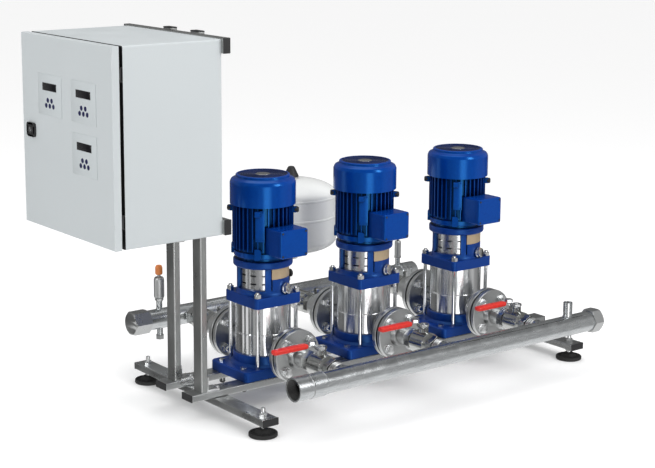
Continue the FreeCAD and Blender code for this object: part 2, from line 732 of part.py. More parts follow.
def motor_body(x):
    """Finned motor frame with its mounting flange, eared for four bolts, bored for the shaft."""
    base = spigot_height + motor_flange_thick
    top = base + motor_length
    spigot = rod(spigot_radius, spigot_height, (0, 0, 0))
    flange = rod(motor_flange_radius, motor_flange_thick, (0, 0, spigot_height))
    edges = [e for e in flange.Edges if len(e.Vertexes) == 1 and e.BoundBox.ZMax < spigot_height + 0.1]
    flange = flange.makeFillet(3, edges)
    core = rod(motor_core_radius, motor_length, (0, 0, base))
    shield = rod(cowl_radius - cowl_wall - seat_gap, shield_height, (0, 0, top))
    fins = []
    for i in range(fin_count):
        fin = box(motor_core_radius - 2, fin_radius, -fin_thick / 2, fin_thick / 2, base + 7, top)
        fin.rotate(Vector(0, 0, 0), Vector(0, 0, 1), 360.0 * (i + 0.5) / fin_count)
        fins.append(fin)
    ears = []
    for i in range(4):
        ear = box(motor_core_radius - 4, fin_radius + 3, -9, 9, spigot_height, spigot_height + ear_high)
        ear = ear.makeFillet(8, edges_along(ear, 0, fin_radius + 7 - motor_core_radius)[2:])
        ear.rotate(Vector(0, 0, 0), Vector(0, 0, 1), ear_angle + 90 * i)
        ears.append(ear)
    for i in range(4):
        lug = box(motor_core_radius - 4, cowl_radius + 3.5, -7, 7, top - 25, top - 25 + lug_high)
        lug = lug.makeFillet(3.5, edges_along(lug, 1, 14))
        lug.rotate(Vector(0, 0, 0), Vector(0, 0, 1), ear_angle + 90 * i)
        ears.append(lug)
    pad = box(box_shift - box_wide / 2 + 1.5, box_shift + box_wide / 2 - 1.5, -fin_radius, -box_root,
              box_low + 1.5, box_low + box_high - 1.5)
    body = flange.fuse([spigot, core, shield, pad] + fins + ears)
    body = body.cut(rod(shaft_radius + running_clearance, top + shield_height, (0, 0, 0)))
    return body.translated(Vector(x, row_y, stool_top)).removeSplitter()


def fan_cowl(x):
    """Pressed cowl on the end shield: stepped shoulder, and a grille of ring slots."""
    r, w, h = cowl_radius, cowl_wall, cowl_height
    t = cowl_top_radius
    profile = [(r - w, 0), (r, 0), (r, h - 20), (r - 3, h - 14), (r - 8, h - 10), (t + 2, h - 8),
               (t, h - 6), (t - 1, h - 1.5), (t - 3, h), (0, h), (0, h - w), (t - 4, h - w),
               (t - w, h - 6 - w), (t + 1 - w, h - 8 - w), (r - 9 - w, h - 10 - w),
               (r - 3 - w, h - 14 - w), (r - w, h - 20)]
    shell = turned(profile)
    hub = 16.0
    pitch = (t - 8 - hub) / grille_rings
    spokes = []
    for i in range(grille_spokes):
        spoke = box(0, t, -2.2, 2.2, h - w - 1, h + 1)
        spoke.rotate(Vector(0, 0, 0), Vector(0, 0, 1), 360.0 * i / grille_spokes)
        spokes.append(spoke)
    cutters = []
    for i in range(grille_rings):
        inner = hub + i * pitch
        gap = ring(inner + pitch * 0.68, inner, w + 2, (0, 0, h - w - 1))
        cutters.append(gap.cut(spokes))
    shell = shell.cut(cutters)
    return shell.translated(Vector(x, row_y, motor_top))


def shaft_line(x):
    """Everything that spins under the fan: pump shaft, impellers, coupling and motor shaft."""
    bottom = base_top + 9 + barrel_wall + 6
    first = bottom + 30
    profile = [(0, bottom), (pump_shaft_radius, bottom)]
    for i in range(impeller_count):
        low = first + i * impeller_pitch
        profile += [(pump_shaft_radius, low), (16, low), (impeller_radius, low + 3),
                    (impeller_radius, low + impeller_thick), (16, low + impeller_thick + 3),
                    (pump_shaft_radius, low + impeller_thick + 3)]
    fan_top = motor_top + fan_rise + 30
    profile += [(pump_shaft_radius, window_bottom - 11), (coupling_radius, window_bottom - 11),
                (coupling_radius, window_bottom + 12), (coupling_radius - 3, window_bottom + 14),
                (coupling_radius - 3, window_top - 14), (coupling_radius, window_top - 12),
                (coupling_radius, window_top), (shaft_radius, window_top),
                (shaft_radius, motor_top + 2), (shaft_radius - 2, motor_top + 2),
                (shaft_radius - 2, fan_top), (0, fan_top)]
    line = turned(profile, (x, row_y, 0))
    bolts = []
    for s in (-1, 1):
        for z in (window_bottom + 4, window_top - 8):
            place = (x + s * 19, row_y - coupling_radius * 0.5, z)
            bolts.append(rod(4, coupling_radius, place, (0, 1, 0)))
    return line.fuse(bolts).removeSplitter()


def motor_fan(x):
    """Radial-bladed cooling fan on the motor shaft's tail."""
    hub = ring(20, shaft_radius - 2, 26, (0, 0, 0))
    disc = ring(fan_radius - 14, 19, 3, (0, 0, 0))
    blades = []
    for i in range(fan_blades):
        blade = box(18, fan_radius, -1.5, 1.5, 0, 26)
        blade.rotate(Vector(0, 0, 0), Vector(0, 0, 1), 360.0 * i / fan_blades)
        blades.append(blade)
    fan = hub.fuse([disc] + blades).removeSplitter()
    return fan.translated(Vector(x, row_y, motor_top + fan_rise))


def terminal_box(x):
    """Box on the motor's side: a body with rounded corners, a lid and a plugged cable entry."""
    low = stool_top + box_low
    y0 = row_y - box_reach
    x0 = x + box_shift - box_wide / 2
    x1 = x + box_shift + box_wide / 2
    body = box(x0, x1, y0 + 14, row_y - fin_radius, low, low + box_high)
    body = body.makeFillet(6, edges_along(body, 1, box_reach - 14 - fin_radius))
    lid = box(x0, x1, y0, y0 + 13.4, low, low + box_high)
    lid = lid.makeFillet(6, edges_along(lid, 1, 13.4))
    front = [e for e in lid.Edges if abs(e.BoundBox.YMax - y0) < 0.01]
    lid = lid.makeFillet(3, front)
    neck = box(x0 + 2, x1 - 2, y0 + 13.4, y0 + 14, low + 2, low + box_high - 2)
    entry = hexagon(26, 6, (x1, row_y - box_reach + 34, low + 26), (1, 0, 0))
    return body.fuse([lid, neck, entry]).removeSplitter()


def coupling_guard(x):
    """Bent stainless sheet behind the lantern windows, with two rows of slots."""
    outer = lantern_inner - seat_gap
    sheet = ring(outer, outer - guard_thick, window_height, (x, row_y, window_bottom))
    slots = []
    for i in range(12):
        for z in (window_bottom + window_height * 0.25, window_bottom + window_height * 0.62):
            slot = box(outer - 4, outer + 4, -9, 9, z, z + 4)
            slot.rotate(Vector(0, 0, 0), Vector(0, 0, 1), 30.0 * i)
            slots.append(slot.translated(Vector(x, row_y, 0)))
    return sheet.cut(slots)


def pumps():
    rods = []
    guards = []
    plugs = []
    boxes = []
    for i, x in enumerate(pump_lines):
        number = str(i + 1)
        save("pump_base_" + number, pump_base(x))
        save("pump_barrel_" + number, pump_barrel(x))
        save("motor_bracket_" + number, motor_bracket(x))
        save("motor_body_" + number, motor_body(x))
        save("fan_cowl_" + number, fan_cowl(x))
        save("shaft_line_" + number, shaft_line(x))
        save("motor_fan_" + number, motor_fan(x))
        boxes.append(terminal_box(x))
        guards.append(coupling_guard(x))
        for sx, sy in corners:
            place = (x + sx * rod_offset, row_y + sy * rod_offset)
            top = head_top + rod_nut_height + 5
            rods.append(rod(rod_radius, top - rod_bottom, place + (rod_bottom,)))
            rods.append(nut(rod_nut_flats, rod_nut_height, rod_radius + running_clearance,
                            place + (head_top,)))
        head = hexagon(22, 9, plug_place(x, plug_face), plug_outward())
        collar = rod(14, 3, plug_place(x, plug_face), plug_outward())
        shank = rod(plug_shank, 6, plug_place(x, plug_face), plug_inward())
        plugs.append(head.fuse([collar, shank]).removeSplitter())
    save("tie_rods", *rods)
    save("coupling_guards", *guards)
    save("filling_plugs", *plugs)
    save("terminal_boxes", *boxes)


def at_port(x, side, reach):
    """Point on a port's axis, reach out from the pump's middle; side -1 suction, 1 delivery."""
    return (x, row_y + side * reach, port_z)


def flanges():
    """At each port a loose flange behind the lap ring, a gasket and a hubbed counter flange."""
    discs = []
    gaskets = []
    bolts = []
    hole = bolt_radius + hole_clearance
    for x in pump_lines:
        for side in (-1, 1):
            out = (0, side, 0)
            loose_start = port_face - 4 - seat_gap - flange_thick
            holes = []
            for k in range(4):
                a = math.radians(45 + 90 * k)
                dx, dz = bolt_circle_radius * math.cos(a), bolt_circle_radius * math.sin(a)
                start = (x + dx, row_y + side * (loose_start - 1), port_z + dz)
                holes.append(rod(hole, flange_face + 2 - loose_start, start, out))
                head_at = (x + dx, row_y + side * flange_face, port_z + dz)
                grip = flange_face - loose_start
                bolts.append(hex_bolt(bolt_radius, bolt_flats, bolt_head, grip + 14, head_at, out))
                nut_at = (x + dx, row_y + side * loose_start, port_z + dz)
                back = (0, -side, 0)
                bolts.append(nut(bolt_flats, 13, bolt_radius + running_clearance, nut_at, back))
            loose = ring(flange_radius, branch_radius + 1, flange_thick,
                         at_port(x, side, loose_start), out)
            edge = [e for e in loose.Edges if abs(e.Length - 2 * math.pi * flange_radius) < 0.01]
            discs.append(loose.makeChamfer(1.5, edge).cut(holes))
            counter_start = port_face + gasket_thick
            plate = rod(flange_radius, flange_thick, at_port(x, side, counter_start), out)
            edge = [e for e in plate.Edges if abs(e.Length - 2 * math.pi * flange_radius) < 0.01]
            plate = plate.makeChamfer(1.5, edge)
            hub = Part.makeCone(hub_radius, hub_radius - 5, hub_length,
                                Vector(*at_port(x, side, flange_face)), Vector(*out))
            bore = rod(branch_radius + running_clearance, flange_thick + hub_length,
                       at_port(x, side, counter_start), out)
            discs.append(plate.fuse(hub).cut(holes + [bore]))
            gaskets.append(ring(gasket_radius, branch_bore + 2, gasket_thick,
                                at_port(x, side, port_face), out))
    save("pipe_flanges", *discs)
    save("flange_gaskets", *gaskets)
    save("flange_bolts", *bolts)


def valve_body(x, side, middle, stem):
    """Ball valve body: two hexagon ends, a round middle and the stem's gland boss."""
    out = (0, side, 0)
    start = middle - valve_half
    ends = [hexagon(valve_end_flats, valve_end_length, at_port(x, side, start), out, 30),
            hexagon(valve_end_flats, valve_end_length,
                    at_port(x, side, middle + valve_half - valve_end_length), out, 30)]
    profile = [(0, 0), (24, 0), (valve_radius, 9), (valve_radius, 2 * valve_half - 53),
               (24, 2 * valve_half - 44), (0, 2 * valve_half - 44)]
    barrel = laid(turned(profile), out, at_port(x, side, start + valve_end_length))
    centre = at_port(x, side, middle)
    boss = rod(gland_radius, valve_radius + gland_height, centre, stem)
    room = ball_radius + 0.5
    hollow = rod(room, 2 * room, at_port(x, side, middle - room), out)
    bore = rod(branch_bore, 2 * valve_half, at_port(x, side, start), out)
    ways = [rod(branch_radius + running_clearance, 14, at_port(x, side, start), out),
            rod(branch_radius + running_clearance, 14,
                at_port(x, side, middle + valve_half - 14), out)]
    stem_way = rod(stem_radius + running_clearance, valve_radius + gland_height, centre, stem)
    body = barrel.fuse(ends + [boss])
    return body.cut([hollow, bore, stem_way] + ways).removeSplitter()


def ball_and_stem(x, side, middle, stem, stem_top):
    """Bored ball, closed across the pipe, with its stem."""
    centre = at_port(x, side, middle)
    ball = Part.makeSphere(ball_radius, Vector(*centre))
    bore = rod(branch_bore, 2 * ball_radius + 2,
               (x - ball_radius - 1, centre[1], centre[2]), (1, 0, 0))
    if stem[0]:
        bore = rod(branch_bore, 2 * ball_radius + 2,
                   (x, centre[1], centre[2] - ball_radius - 1), (0, 0, 1))
        stick = rod(stem_radius, stem_top - branch_bore,
                    (x + branch_bore, centre[1], centre[2]), stem)
        return ball.cut(bore).fuse(stick).removeSplitter()
    stick = rod(stem_radius, stem_top - branch_bore,
                (x, centre[1], centre[2] + branch_bore), stem)
    return ball.cut(bore).fuse(stick).removeSplitter()


def suction_lever(x):
    """Flat steel lever with a joggle, sleeved at its outer end, clamped on the stem by a nut."""
    y = row_y - valve_offset
    z = port_z + lever_rise
    half = lever_wide / 2
    low = port_z + valve_radius + gland_height + 1
    bend_start = x - lever_bend[0]
    bend_end = x - lever_bend[1]
    eye = rod(half + 2, lever_thick, (x, y, low)).cut(
        rod(stem_radius + running_clearance, lever_thick, (x, y, low)))
    inner = box(bend_start, x - half, y - half, y + half, low, low + lever_thick)
    points = [Vector(bend_start + 1, 0, low), Vector(bend_end, 0, z),
              Vector(bend_end, 0, z + lever_thick), Vector(bend_start + 1, 0, low + lever_thick)]
    joggle = Part.Face(Part.makePolygon(points + points[:1])).extrude(Vector(0, 2 * half, 0))
    joggle = joggle.translated(Vector(0, y - half, 0))
    steel_end = x - lever_length + 10
    outer = box(steel_end, bend_end + 1, y - half + 3, y + half - 3, z, z + lever_thick)
    eye_link = box(x - half - 1, x, y - half, y + half, low, low + lever_thick)
    eye_link = eye_link.cut(rod(stem_radius + running_clearance, lever_thick, (x, y, low)))
    steel = eye.fuse([inner, eye_link, joggle, outer]).removeSplitter()
    grip = box(x - lever_length, x - lever_length + grip_length, y - half - 1, y + half + 1,
               z - (grip_thick - lever_thick) / 2, z + (grip_thick + lever_thick) / 2)
    grip = grip.makeFillet(3, edges_along(grip, 0, grip_length))
    grip = grip.cut(outer)
    top_nut = nut(17, 8, stem_radius + running_clearance, (x, y, low + lever_thick))
    pin = ball_and_stem(x, -1, valve_offset, (0, 0, 1), low + lever_thick + 10 - port_z)
    return [pin, steel, grip, top_nut]


def delivery_handle(x):
    """Butterfly handle on the far side of the delivery valve, with its stem and ball."""
    y = row_y + delivery_valve_offset
    reach = valve_radius + gland_height + 5
    pin = ball_and_stem(x, 1, delivery_valve_offset, (1, 0, 0), reach + 8)
    wing = box(x + reach, x + reach + 8, y - 7, y + 7, port_z - wing_half, port_z + wing_half)
    wing = wing.makeFillet(5, edges_along(wing, 0, 8))
    hub = rod(12, 10, (x + reach - 2, y, port_z), (1, 0, 0))
    wing = wing.fuse(hub).cut(rod(stem_radius + running_clearance, 14,
                                  (x + reach - 2, y, port_z), (1, 0, 0)))
    return [pin, wing.removeSplitter()]


def valves():
    bodies = []
    checks = []
    for i, x in enumerate(pump_lines):
        number = str(i + 1)
        bodies.append(valve_body(x, -1, valve_offset, (0, 0, 1)))
        bodies.append(valve_body(x, 1, delivery_valve_offset, (1, 0, 0)))
        save("suction_lever_" + number, *suction_lever(x))
        save("delivery_handle_" + number, *delivery_handle(x))
        start = flange_face - 12
        nipple = ring(branch_radius, branch_bore, check_start - start + 12,
                      at_port(x, 1, start), (0, 1, 0))
        end = delivery_valve_offset - valve_half
        length = end - check_start
        profile = [(0, 0), (29, 0), (36, 8), (36, length - 8), (29, length), (0, length)]
        body = laid(turned(profile), (0, 1, 0), at_port(x, 1, check_start))
        body = body.cut([rod(branch_bore, length, at_port(x, 1, check_start), (0, 1, 0)),
                         rod(branch_radius, 12, at_port(x, 1, check_start), (0, 1, 0)),
                         rod(branch_radius, 10, at_port(x, 1, end - 10), (0, 1, 0))])
        tail = ring(branch_radius, branch_bore, 22, at_port(x, 1, end - 10), (0, 1, 0))
        checks.append(body.fuse([nipple, tail]).removeSplitter())
        nipple_start = flange_face - 12
        reach = valve_offset - valve_half - nipple_start
        checks.append(ring(branch_radius, branch_bore, reach + 12,
                           at_port(x, -1, nipple_start), (0, -1, 0)))
    save("valve_bodies", *bodies)
    save("check_valves_and_nipples", *checks)


def manifold(y, start, end, side, valve_end):
    """Main pipe along X with a welded socket at its open end and a branch to each pump."""
    length = end - start
    pipe = rod(pipe_radius, length, (start, y, port_z), (1, 0, 0))
    reach = abs(y - row_y) - valve_end + 12
    branches = [rod(branch_radius, reach, (x, y, port_z), (0, -side, 0)) for x in pump_lines]
    bores = [rod(branch_bore, reach, (x, y, port_z), (0, -side, 0)) for x in pump_lines]
    bore = rod(pipe_radius - pipe_wall, length, (start, y, port_z), (1, 0, 0))
    return pipe.fuse(branches), bores + [bore]


def socket(y, low, length, grooves):
    """Thick threaded sleeve on the pipe's open end, with a turned groove."""
    body = rod(socket_radius, length, (low, y, port_z), (1, 0, 0))
    for x in grooves:
        body = body.cut(ring(socket_radius + 1, socket_radius - 1.2, 3, (x, y, port_z), (1, 0, 0)))
    return body


def manifolds():
    pipe, bores = manifold(suction_y, suction_start, suction_end, -1,
                           valve_offset + valve_half)
    mouth = rod(thread_radius, thread_depth, (suction_start, suction_y, port_z), (1, 0, 0))
    sleeve = socket(suction_y, suction_start, suction_socket, (suction_start + socket_groove,))
    riser = rod(nipple_radius, nipple_rise, (nipple_x, suction_y, port_z))
    riser_bore = rod(nipple_radius - 3, nipple_rise, (nipple_x, suction_y, port_z))
    save("suction_manifold",
         pipe.fuse([sleeve, riser]).cut(bores + [mouth, riser_bore]).removeSplitter())
    pipe, bores = manifold(delivery_y, delivery_start, delivery_end, 1,
                           delivery_valve_offset + valve_half)
    mouth = rod(thread_radius, thread_depth,
                (delivery_end - thread_depth, delivery_y, port_z), (1, 0, 0))
    sleeve = socket(delivery_y, delivery_end - delivery_socket, delivery_socket,
                    (delivery_end - delivery_socket / 2,))
    bosses = [rod(9.0, 56, (transmitter_x, delivery_y, port_z)),
              rod(8.0, 54, (switch_x, delivery_y, port_z)),
              rod(15.0, tank_valve_low - port_z, (neck_x, delivery_y, port_z)),
              rod(9.0, drain_drop, (drain_x, delivery_y, port_z), (0, 0, -1))]
    ways = [rod(5.0, 56, (transmitter_x, delivery_y, port_z)),
            rod(4.0, 54, (switch_x, delivery_y, port_z)),
            rod(8.0, tank_valve_low - port_z, (neck_x, delivery_y, port_z))]
    save("delivery_manifold",
         pipe.fuse([sleeve] + bosses).cut(bores + [mouth] + ways).removeSplitter())


def pipe_cap(x_end, y, direction, length):
    """Hexagon cap screwed over the pipe's end; x_end is the pipe's end face."""
    depth = cap_thread
    start = (x_end - direction * depth, y, port_z)
    cap = hexagon(cap_flats, length, start, (direction, 0, 0), 30)
    cone = turned([(0, 0), (cap_flats / 2 + 1, 0), (cap_flats / 2 + 6, 4),
                   (cap_flats / 2 + 6, length - 5), (cap_flats / 2, length), (0, length)])
    cap = cap.common(laid(cone, (direction, 0, 0), start))
    return cap.cut(rod(pipe_radius + running_clearance, depth, start, (direction, 0, 0)))


def pipe_caps():
    right = pipe_cap(suction_end, suction_y, 1, suction_cap_length)
    left = pipe_cap(delivery_start, delivery_y, -1, delivery_cap_length)
    drain = hexagon(22, 12, (drain_x, delivery_y, port_z - drain_drop - 12))
    riser_top = port_z + nipple_rise
    riser_plug = rod(nipple_radius - 3 - seat_gap, 12, (nipple_x, suction_y, riser_top - 14))
    riser_plug = riser_plug.cut(hexagon(9, 6, (nipple_x, suction_y, riser_top - 8)))
    save("pipe_caps", right, left, drain, riser_plug)


def tank():
    """Diaphragm tank: two drawn shells joined at a band, a base boss and a capped air valve."""
    h, r, d = tank_high, tank_radius, tank_dome
    steps = 6
    low = [(r * math.cos(math.radians(a)), d - d * math.sin(math.radians(a)))
           for a in [90 - 90.0 * i / steps for i in range(steps + 1)]]
    high = [(x, h - z) for x, z in reversed(low)]
    seams = []
    for z in tank_seams:
        seams += [(r, z - 4), (r + 1.5, z - 2.5), (r + 1.5, z + 2.5), (r, z + 4)]
    low[0] = (0, 0)
    high[-1] = (0, h)
    shell = turned(low + seams + high, (tank_x, delivery_y, tank_bottom_z))
    boss = rod(16, 10, (tank_x, delivery_y, tank_bottom_z - 8))
    collar = rod(18, 7, (tank_x, delivery_y, tank_bottom_z + h - 3))
    save("tank", shell.fuse([boss, collar]).removeSplitter())
    cap_z = tank_bottom_z + h + 4
    cap = turned([(0, 0), (24, 0), (11, tank_cap_height - 4), (8, tank_cap_height),
                  (0, tank_cap_height)], (tank_x, delivery_y, cap_z))
    low_z = tank_valve_low
    high_z = tank_bottom_z - 8 - tank_elbow_high
    mid_z = low_z + 23
    body = hexagon(30, 12, (neck_x, delivery_y, low_z))
    tail = rod(tank_neck_radius, high_z - low_z, (neck_x, delivery_y, low_z))
    union = hexagon(24, 10, (neck_x, delivery_y, high_z - 10))
    elbow = box(neck_x - 15, tank_x + 18, delivery_y - 17, delivery_y + 17,
                high_z, high_z + tank_elbow_high)
    elbow = elbow.makeFillet(14, edges_along(elbow, 2, tank_elbow_high))
    neck = rod(6, tank_neck_radius + 6, (neck_x, delivery_y, mid_z), (1, 0, 0))
    knob_start = (neck_x + tank_neck_radius + 6, delivery_y, mid_z)
    knob = laid(turned([(0, 0), (13, 0), (13, 8), (11, 10), (0, 10)]), (1, 0, 0), knob_start)
    save("tank_valve", body.fuse([tail, union, neck, elbow]).removeSplitter(), knob, cap)


def transmitters():
    """Pressure transmitter with a plug-in connector, and a slimmer pressure switch."""
    z = port_z + 56
    r = transmitter_radius
    h = transmitter_body
    seal = ring(10, 5, 6, (transmitter_x, delivery_y, z))
    body = turned([(0, 0), (r - 5, 0), (r, 6), (r, h - 6), (r - 3, h), (0, h)],
                  (transmitter_x, delivery_y, z + 6))
    neck = rod(5, 8, (transmitter_x, delivery_y, z + 6 + h))
    plug_body = turned([(0, 0), (10, 0), (11, 4), (11, 24), (8, 28), (0, 28)],
                       (transmitter_x, delivery_y, z + 14 + h))
    z = port_z + 54
    r = switch_radius
    h = switch_body
    washer = ring(10, 4, 4, (switch_x, delivery_y, z))
    switch = turned([(0, 0), (r - 1, 0), (r, 2), (r, h - 4), (r - 2, h), (0, h)],
                    (switch_x, delivery_y, z + 4))
    stub = rod(3.5, 14, (switch_x, delivery_y, z + 4 + h))
    save("transmitters", seal, body.fuse(neck).removeSplitter(), plug_body, washer, switch, stub)


# Sizes of small fittings that follow the driving sizes
bolt_small = 5.0
small_flats = 16.0
small_head = 6.5
small_nut = 8.0
hold_down_x = base_wide / 2 - 17.5
hold_down_y = 53.0
angle_leg = 40.0
angle_wide = 36.0
angle_thick = 4.0
strut_levels = (cabinet_bottom + strut_high / 2 + 1, cabinet_top + strut_drop - strut_high / 2)
strut_bolt_lines = rail_lines
hinge_levels = (cabinet_bottom + hinge_inset_z, cabinet_top - hinge_inset_z)
lock_y = cabinet_far - lock_edge
keypad_places = ((keypad_low_y, keypad_top_z), (keypad_low_y + keypad_pitch_y, keypad_top_z),
                 (keypad_low_y, keypad_top_z - keypad_pitch_z))
drive_pitch = 118.0
drive_wide = 104.0
drive_high = 210.0
drive_deep = 150.0
terminal_count = 18
terminal_pitch = 12.0
gland_hole = 12.0
gland_x = cabinet_rear - 70.0
gland_lines = [cabinet_mid_y + 46.0 * (i - 3) for i in range(7)]
plug_angle = -70.0
plug_rise = 17.0
plug_shank = 8.0
plug_face = lantern_radius + 2
rod_bottom = base_top - 14.0
ear_angle = 45.0
ear_high = 31.0
lug_high = 16.0
box_low = 23.0
fan_rise = shield_height + 4
check_start = flange_face + hub_length
tank_valve_low = port_z + 46.0

frame_tubes()
end_caps()
feet()
cabinet_supports()
frame_bolts()
cabinet_shell()
cabinet_inside()
cabinet_door()
door_lock()
pumps()
flanges()
valves()
manifolds()
pipe_caps()
tank()
transmitters()
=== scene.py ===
# %% [markdown]
# The object is a booster set for fire water. Three upright pumps with blue motors stand in a row on
# a frame of steel tube, between a suction pipe in front and a delivery pipe behind them, and a grey
# control cabinet stands on two posts at one end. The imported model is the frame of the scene: its
# nodes keep their places, and everything made here is set against them, in metres.

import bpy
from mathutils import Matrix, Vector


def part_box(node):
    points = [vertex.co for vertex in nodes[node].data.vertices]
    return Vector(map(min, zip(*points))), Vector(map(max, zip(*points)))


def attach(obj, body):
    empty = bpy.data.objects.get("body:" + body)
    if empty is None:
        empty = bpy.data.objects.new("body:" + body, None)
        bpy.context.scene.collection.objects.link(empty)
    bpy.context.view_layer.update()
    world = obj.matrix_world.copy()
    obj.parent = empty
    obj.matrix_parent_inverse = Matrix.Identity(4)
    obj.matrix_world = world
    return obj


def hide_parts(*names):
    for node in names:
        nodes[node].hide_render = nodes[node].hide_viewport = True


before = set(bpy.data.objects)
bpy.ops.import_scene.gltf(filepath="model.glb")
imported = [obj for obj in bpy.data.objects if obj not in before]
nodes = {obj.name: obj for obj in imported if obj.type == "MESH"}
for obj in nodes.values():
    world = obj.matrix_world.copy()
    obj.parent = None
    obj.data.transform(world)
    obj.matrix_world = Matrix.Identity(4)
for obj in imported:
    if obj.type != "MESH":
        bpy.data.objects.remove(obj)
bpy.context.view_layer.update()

import math
from itertools import product

import bmesh
import bpy
from mathutils import Matrix, Vector

UP = Vector((0, 0, 1))
scene = bpy.context.scene


def added(name, data):
    """New object in the scene."""
    made = bpy.data.objects.new(name, data)
    scene.collection.objects.link(made)
    return made


# %% [markdown]
# Places that many pieces share are measured on the nodes, so that a new pack moves them along. The
# pump's own lines come from its fan cowl, which is round and stands on the pump's axis.

# %% Lines and levels read from the frame
MM = 0.001


def middle(node):
    low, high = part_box(node)
    return (low + high) / 2


def bottom(node):
    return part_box(node)[0].z


pump_numbers = ("1", "2", "3")
pump_axes = [middle("fan_cowl_" + n).xy for n in pump_numbers]
pumps = list(zip(pump_numbers, pump_axes))
row_y = pump_axes[0].y
port_z = 150 * MM
suction_y = row_y - 395 * MM
delivery_y = row_y + 392 * MM
flange_face = 166 * MM
print("pump axes", [tuple(round(v, 4) for v in axis) for axis in pump_axes])

# %% [markdown]
# The photograph was taken from the cabinet end, a little above the motors, with a long lens. It is
# shifted only a little, so that the camera can also be turned round the object.

# %% Camera
camera_place = Vector((-2.3550, -3.2882, 1.4514))
camera_yaw = math.radians(37.963)
camera_pitch = math.radians(10.769)
camera_roll = math.radians(0.340)

ahead = Vector((math.sin(camera_yaw) * math.cos(camera_pitch),
                math.cos(camera_yaw) * math.cos(camera_pitch),
                -math.sin(camera_pitch)))
level = Vector((math.cos(camera_yaw), -math.sin(camera_yaw), 0))
over = level.cross(ahead)
right = level * math.cos(camera_roll) + over * math.sin(camera_roll)
above = over * math.cos(camera_roll) - level * math.sin(camera_roll)

lens = bpy.data.cameras.new("camera")
lens.sensor_width = 36
lens.lens = 88.24
lens.shift_y = -0.0794
lens.clip_end = 120
camera = added("camera", lens)
camera.matrix_world = (Matrix.Translation(camera_place)
                       @ Matrix((right, above, -ahead)).transposed().to_4x4())
scene.camera = camera
scene.view_settings.view_transform = "Standard"
print("camera", tuple(camera_place), "lens", lens.lens)

# %% [markdown]
# Polished steel shows the room it stands in, so the room needs something dark too: the world is
# white for the camera, and carries tall grey flags that only reflections see. The floor glows for
# the camera alone, and mirrors don't show it; near the object its glow is dimmed by ambient
# occlusion, a painted shadow where the object stands close over it.

# %% Room: world, floor and lamps
def put(tree, socket, value):
    """Link a value that comes out of another node, or else set it on the socket."""
    if isinstance(value, bpy.types.NodeSocket):
        tree.links.new(value, socket)
    else:
        socket.default_value = value


def opaque(colour):
    """Colour with alpha; a number is a grey, and a node's output stays as it is."""
    if isinstance(colour, bpy.types.NodeSocket):
        return colour
    return (colour, colour, colour, 1) if isinstance(colour, float) else (*colour, 1)


def calculate(tree, operation, first, second):
    node = tree.nodes.new("ShaderNodeMath")
    node.operation = operation
    put(tree, node.inputs[0], first)
    put(tree, node.inputs[1], second)
    return node.outputs[0]


def spread(tree, value, low, high, to_low=0.0, to_high=1.0):
    """How far the value is from low to high, laid out from to_low to to_high."""
    node = tree.nodes.new("ShaderNodeMapRange")
    for label, given in (("Value", value), ("From Min", low), ("From Max", high),
                         ("To Min", to_low), ("To Max", to_high)):
        put(tree, node.inputs[label], given)
    return node.outputs["Result"]


def blend(tree, first, second, factor):
    """Mix of two colours."""
    node = tree.nodes.new("ShaderNodeMix")
    node.data_type = "RGBA"
    put(tree, node.inputs["A"], opaque(first))
    put(tree, node.inputs["B"], opaque(second))
    put(tree, node.inputs["Factor"], factor)
    return node.outputs["Result"]


def shading(tree, colour):
    node = tree.nodes.new("ShaderNodeBackground")
    put(tree, node.inputs["Color"], opaque(colour))
    return node.outputs[0]


def switched(tree, switch, off, on):
    """One of two shaders, by a switch that is 0 or 1."""
    node = tree.nodes.new("ShaderNodeMixShader")
    for socket, given in zip(node.inputs, (switch, off, on)):
        put(tree, socket, given)
    return node.outputs[0]


soft_flags = ((-180, 0.30), (-125, 0.32), (-95, 0.70), (-30, 0.90), (20, 0.65), (80, 0.35),
              (180, 0.30))
low_flags = ((-180, 0.36), (-146, 0.36), (-141, 0.62), (-126, 0.46), (-119, 3.40), (-104, 3.40),
             (-94, 0.46), (-78, 0.46), (-70, 0.20), (-60, 0.54), (-46, 0.52), (-34, 0.30),
             (-10, 0.24), (-4, 0.04), (14, 0.04), (22, 0.24), (40, 0.18), (70, 0.16), (120, 0.12),
             (127, 0.08), (132, 0.05), (137, 0.05), (143, 0.90), (168, 0.95), (173, 0.06),
             (179, 0.06))
high_flags = ((-180, 0.40), (-75, 0.36), (-60, 0.42), (-40, 0.42), (0, 0.30), (35, 0.14),
              (65, 0.14), (100, 0.30), (180, 0.40))
overhead, soft_overhead, underfoot = 0.22, 0.85, 0.95
low_to_high, high_to_overhead = (0.0, 0.12), (0.45, 0.68)
underfoot_to_low, soft_to_overhead = (-0.55, -0.36), (0.2, 0.8)


def flag_ramp(tree, share, stops):
    """Grey of the room by compass direction, in degrees from +X."""
    ramp = tree.nodes.new("ShaderNodeValToRGB")
    while len(ramp.color_ramp.elements) < len(stops):
        ramp.color_ramp.elements.new(0.5)
    for stop, (degrees, shade) in zip(ramp.color_ramp.elements, stops):
        stop.position = 0.5 + degrees / 360
        stop.color = opaque(shade)
    put(tree, ramp.inputs[0], share)
    return ramp.outputs["Color"]


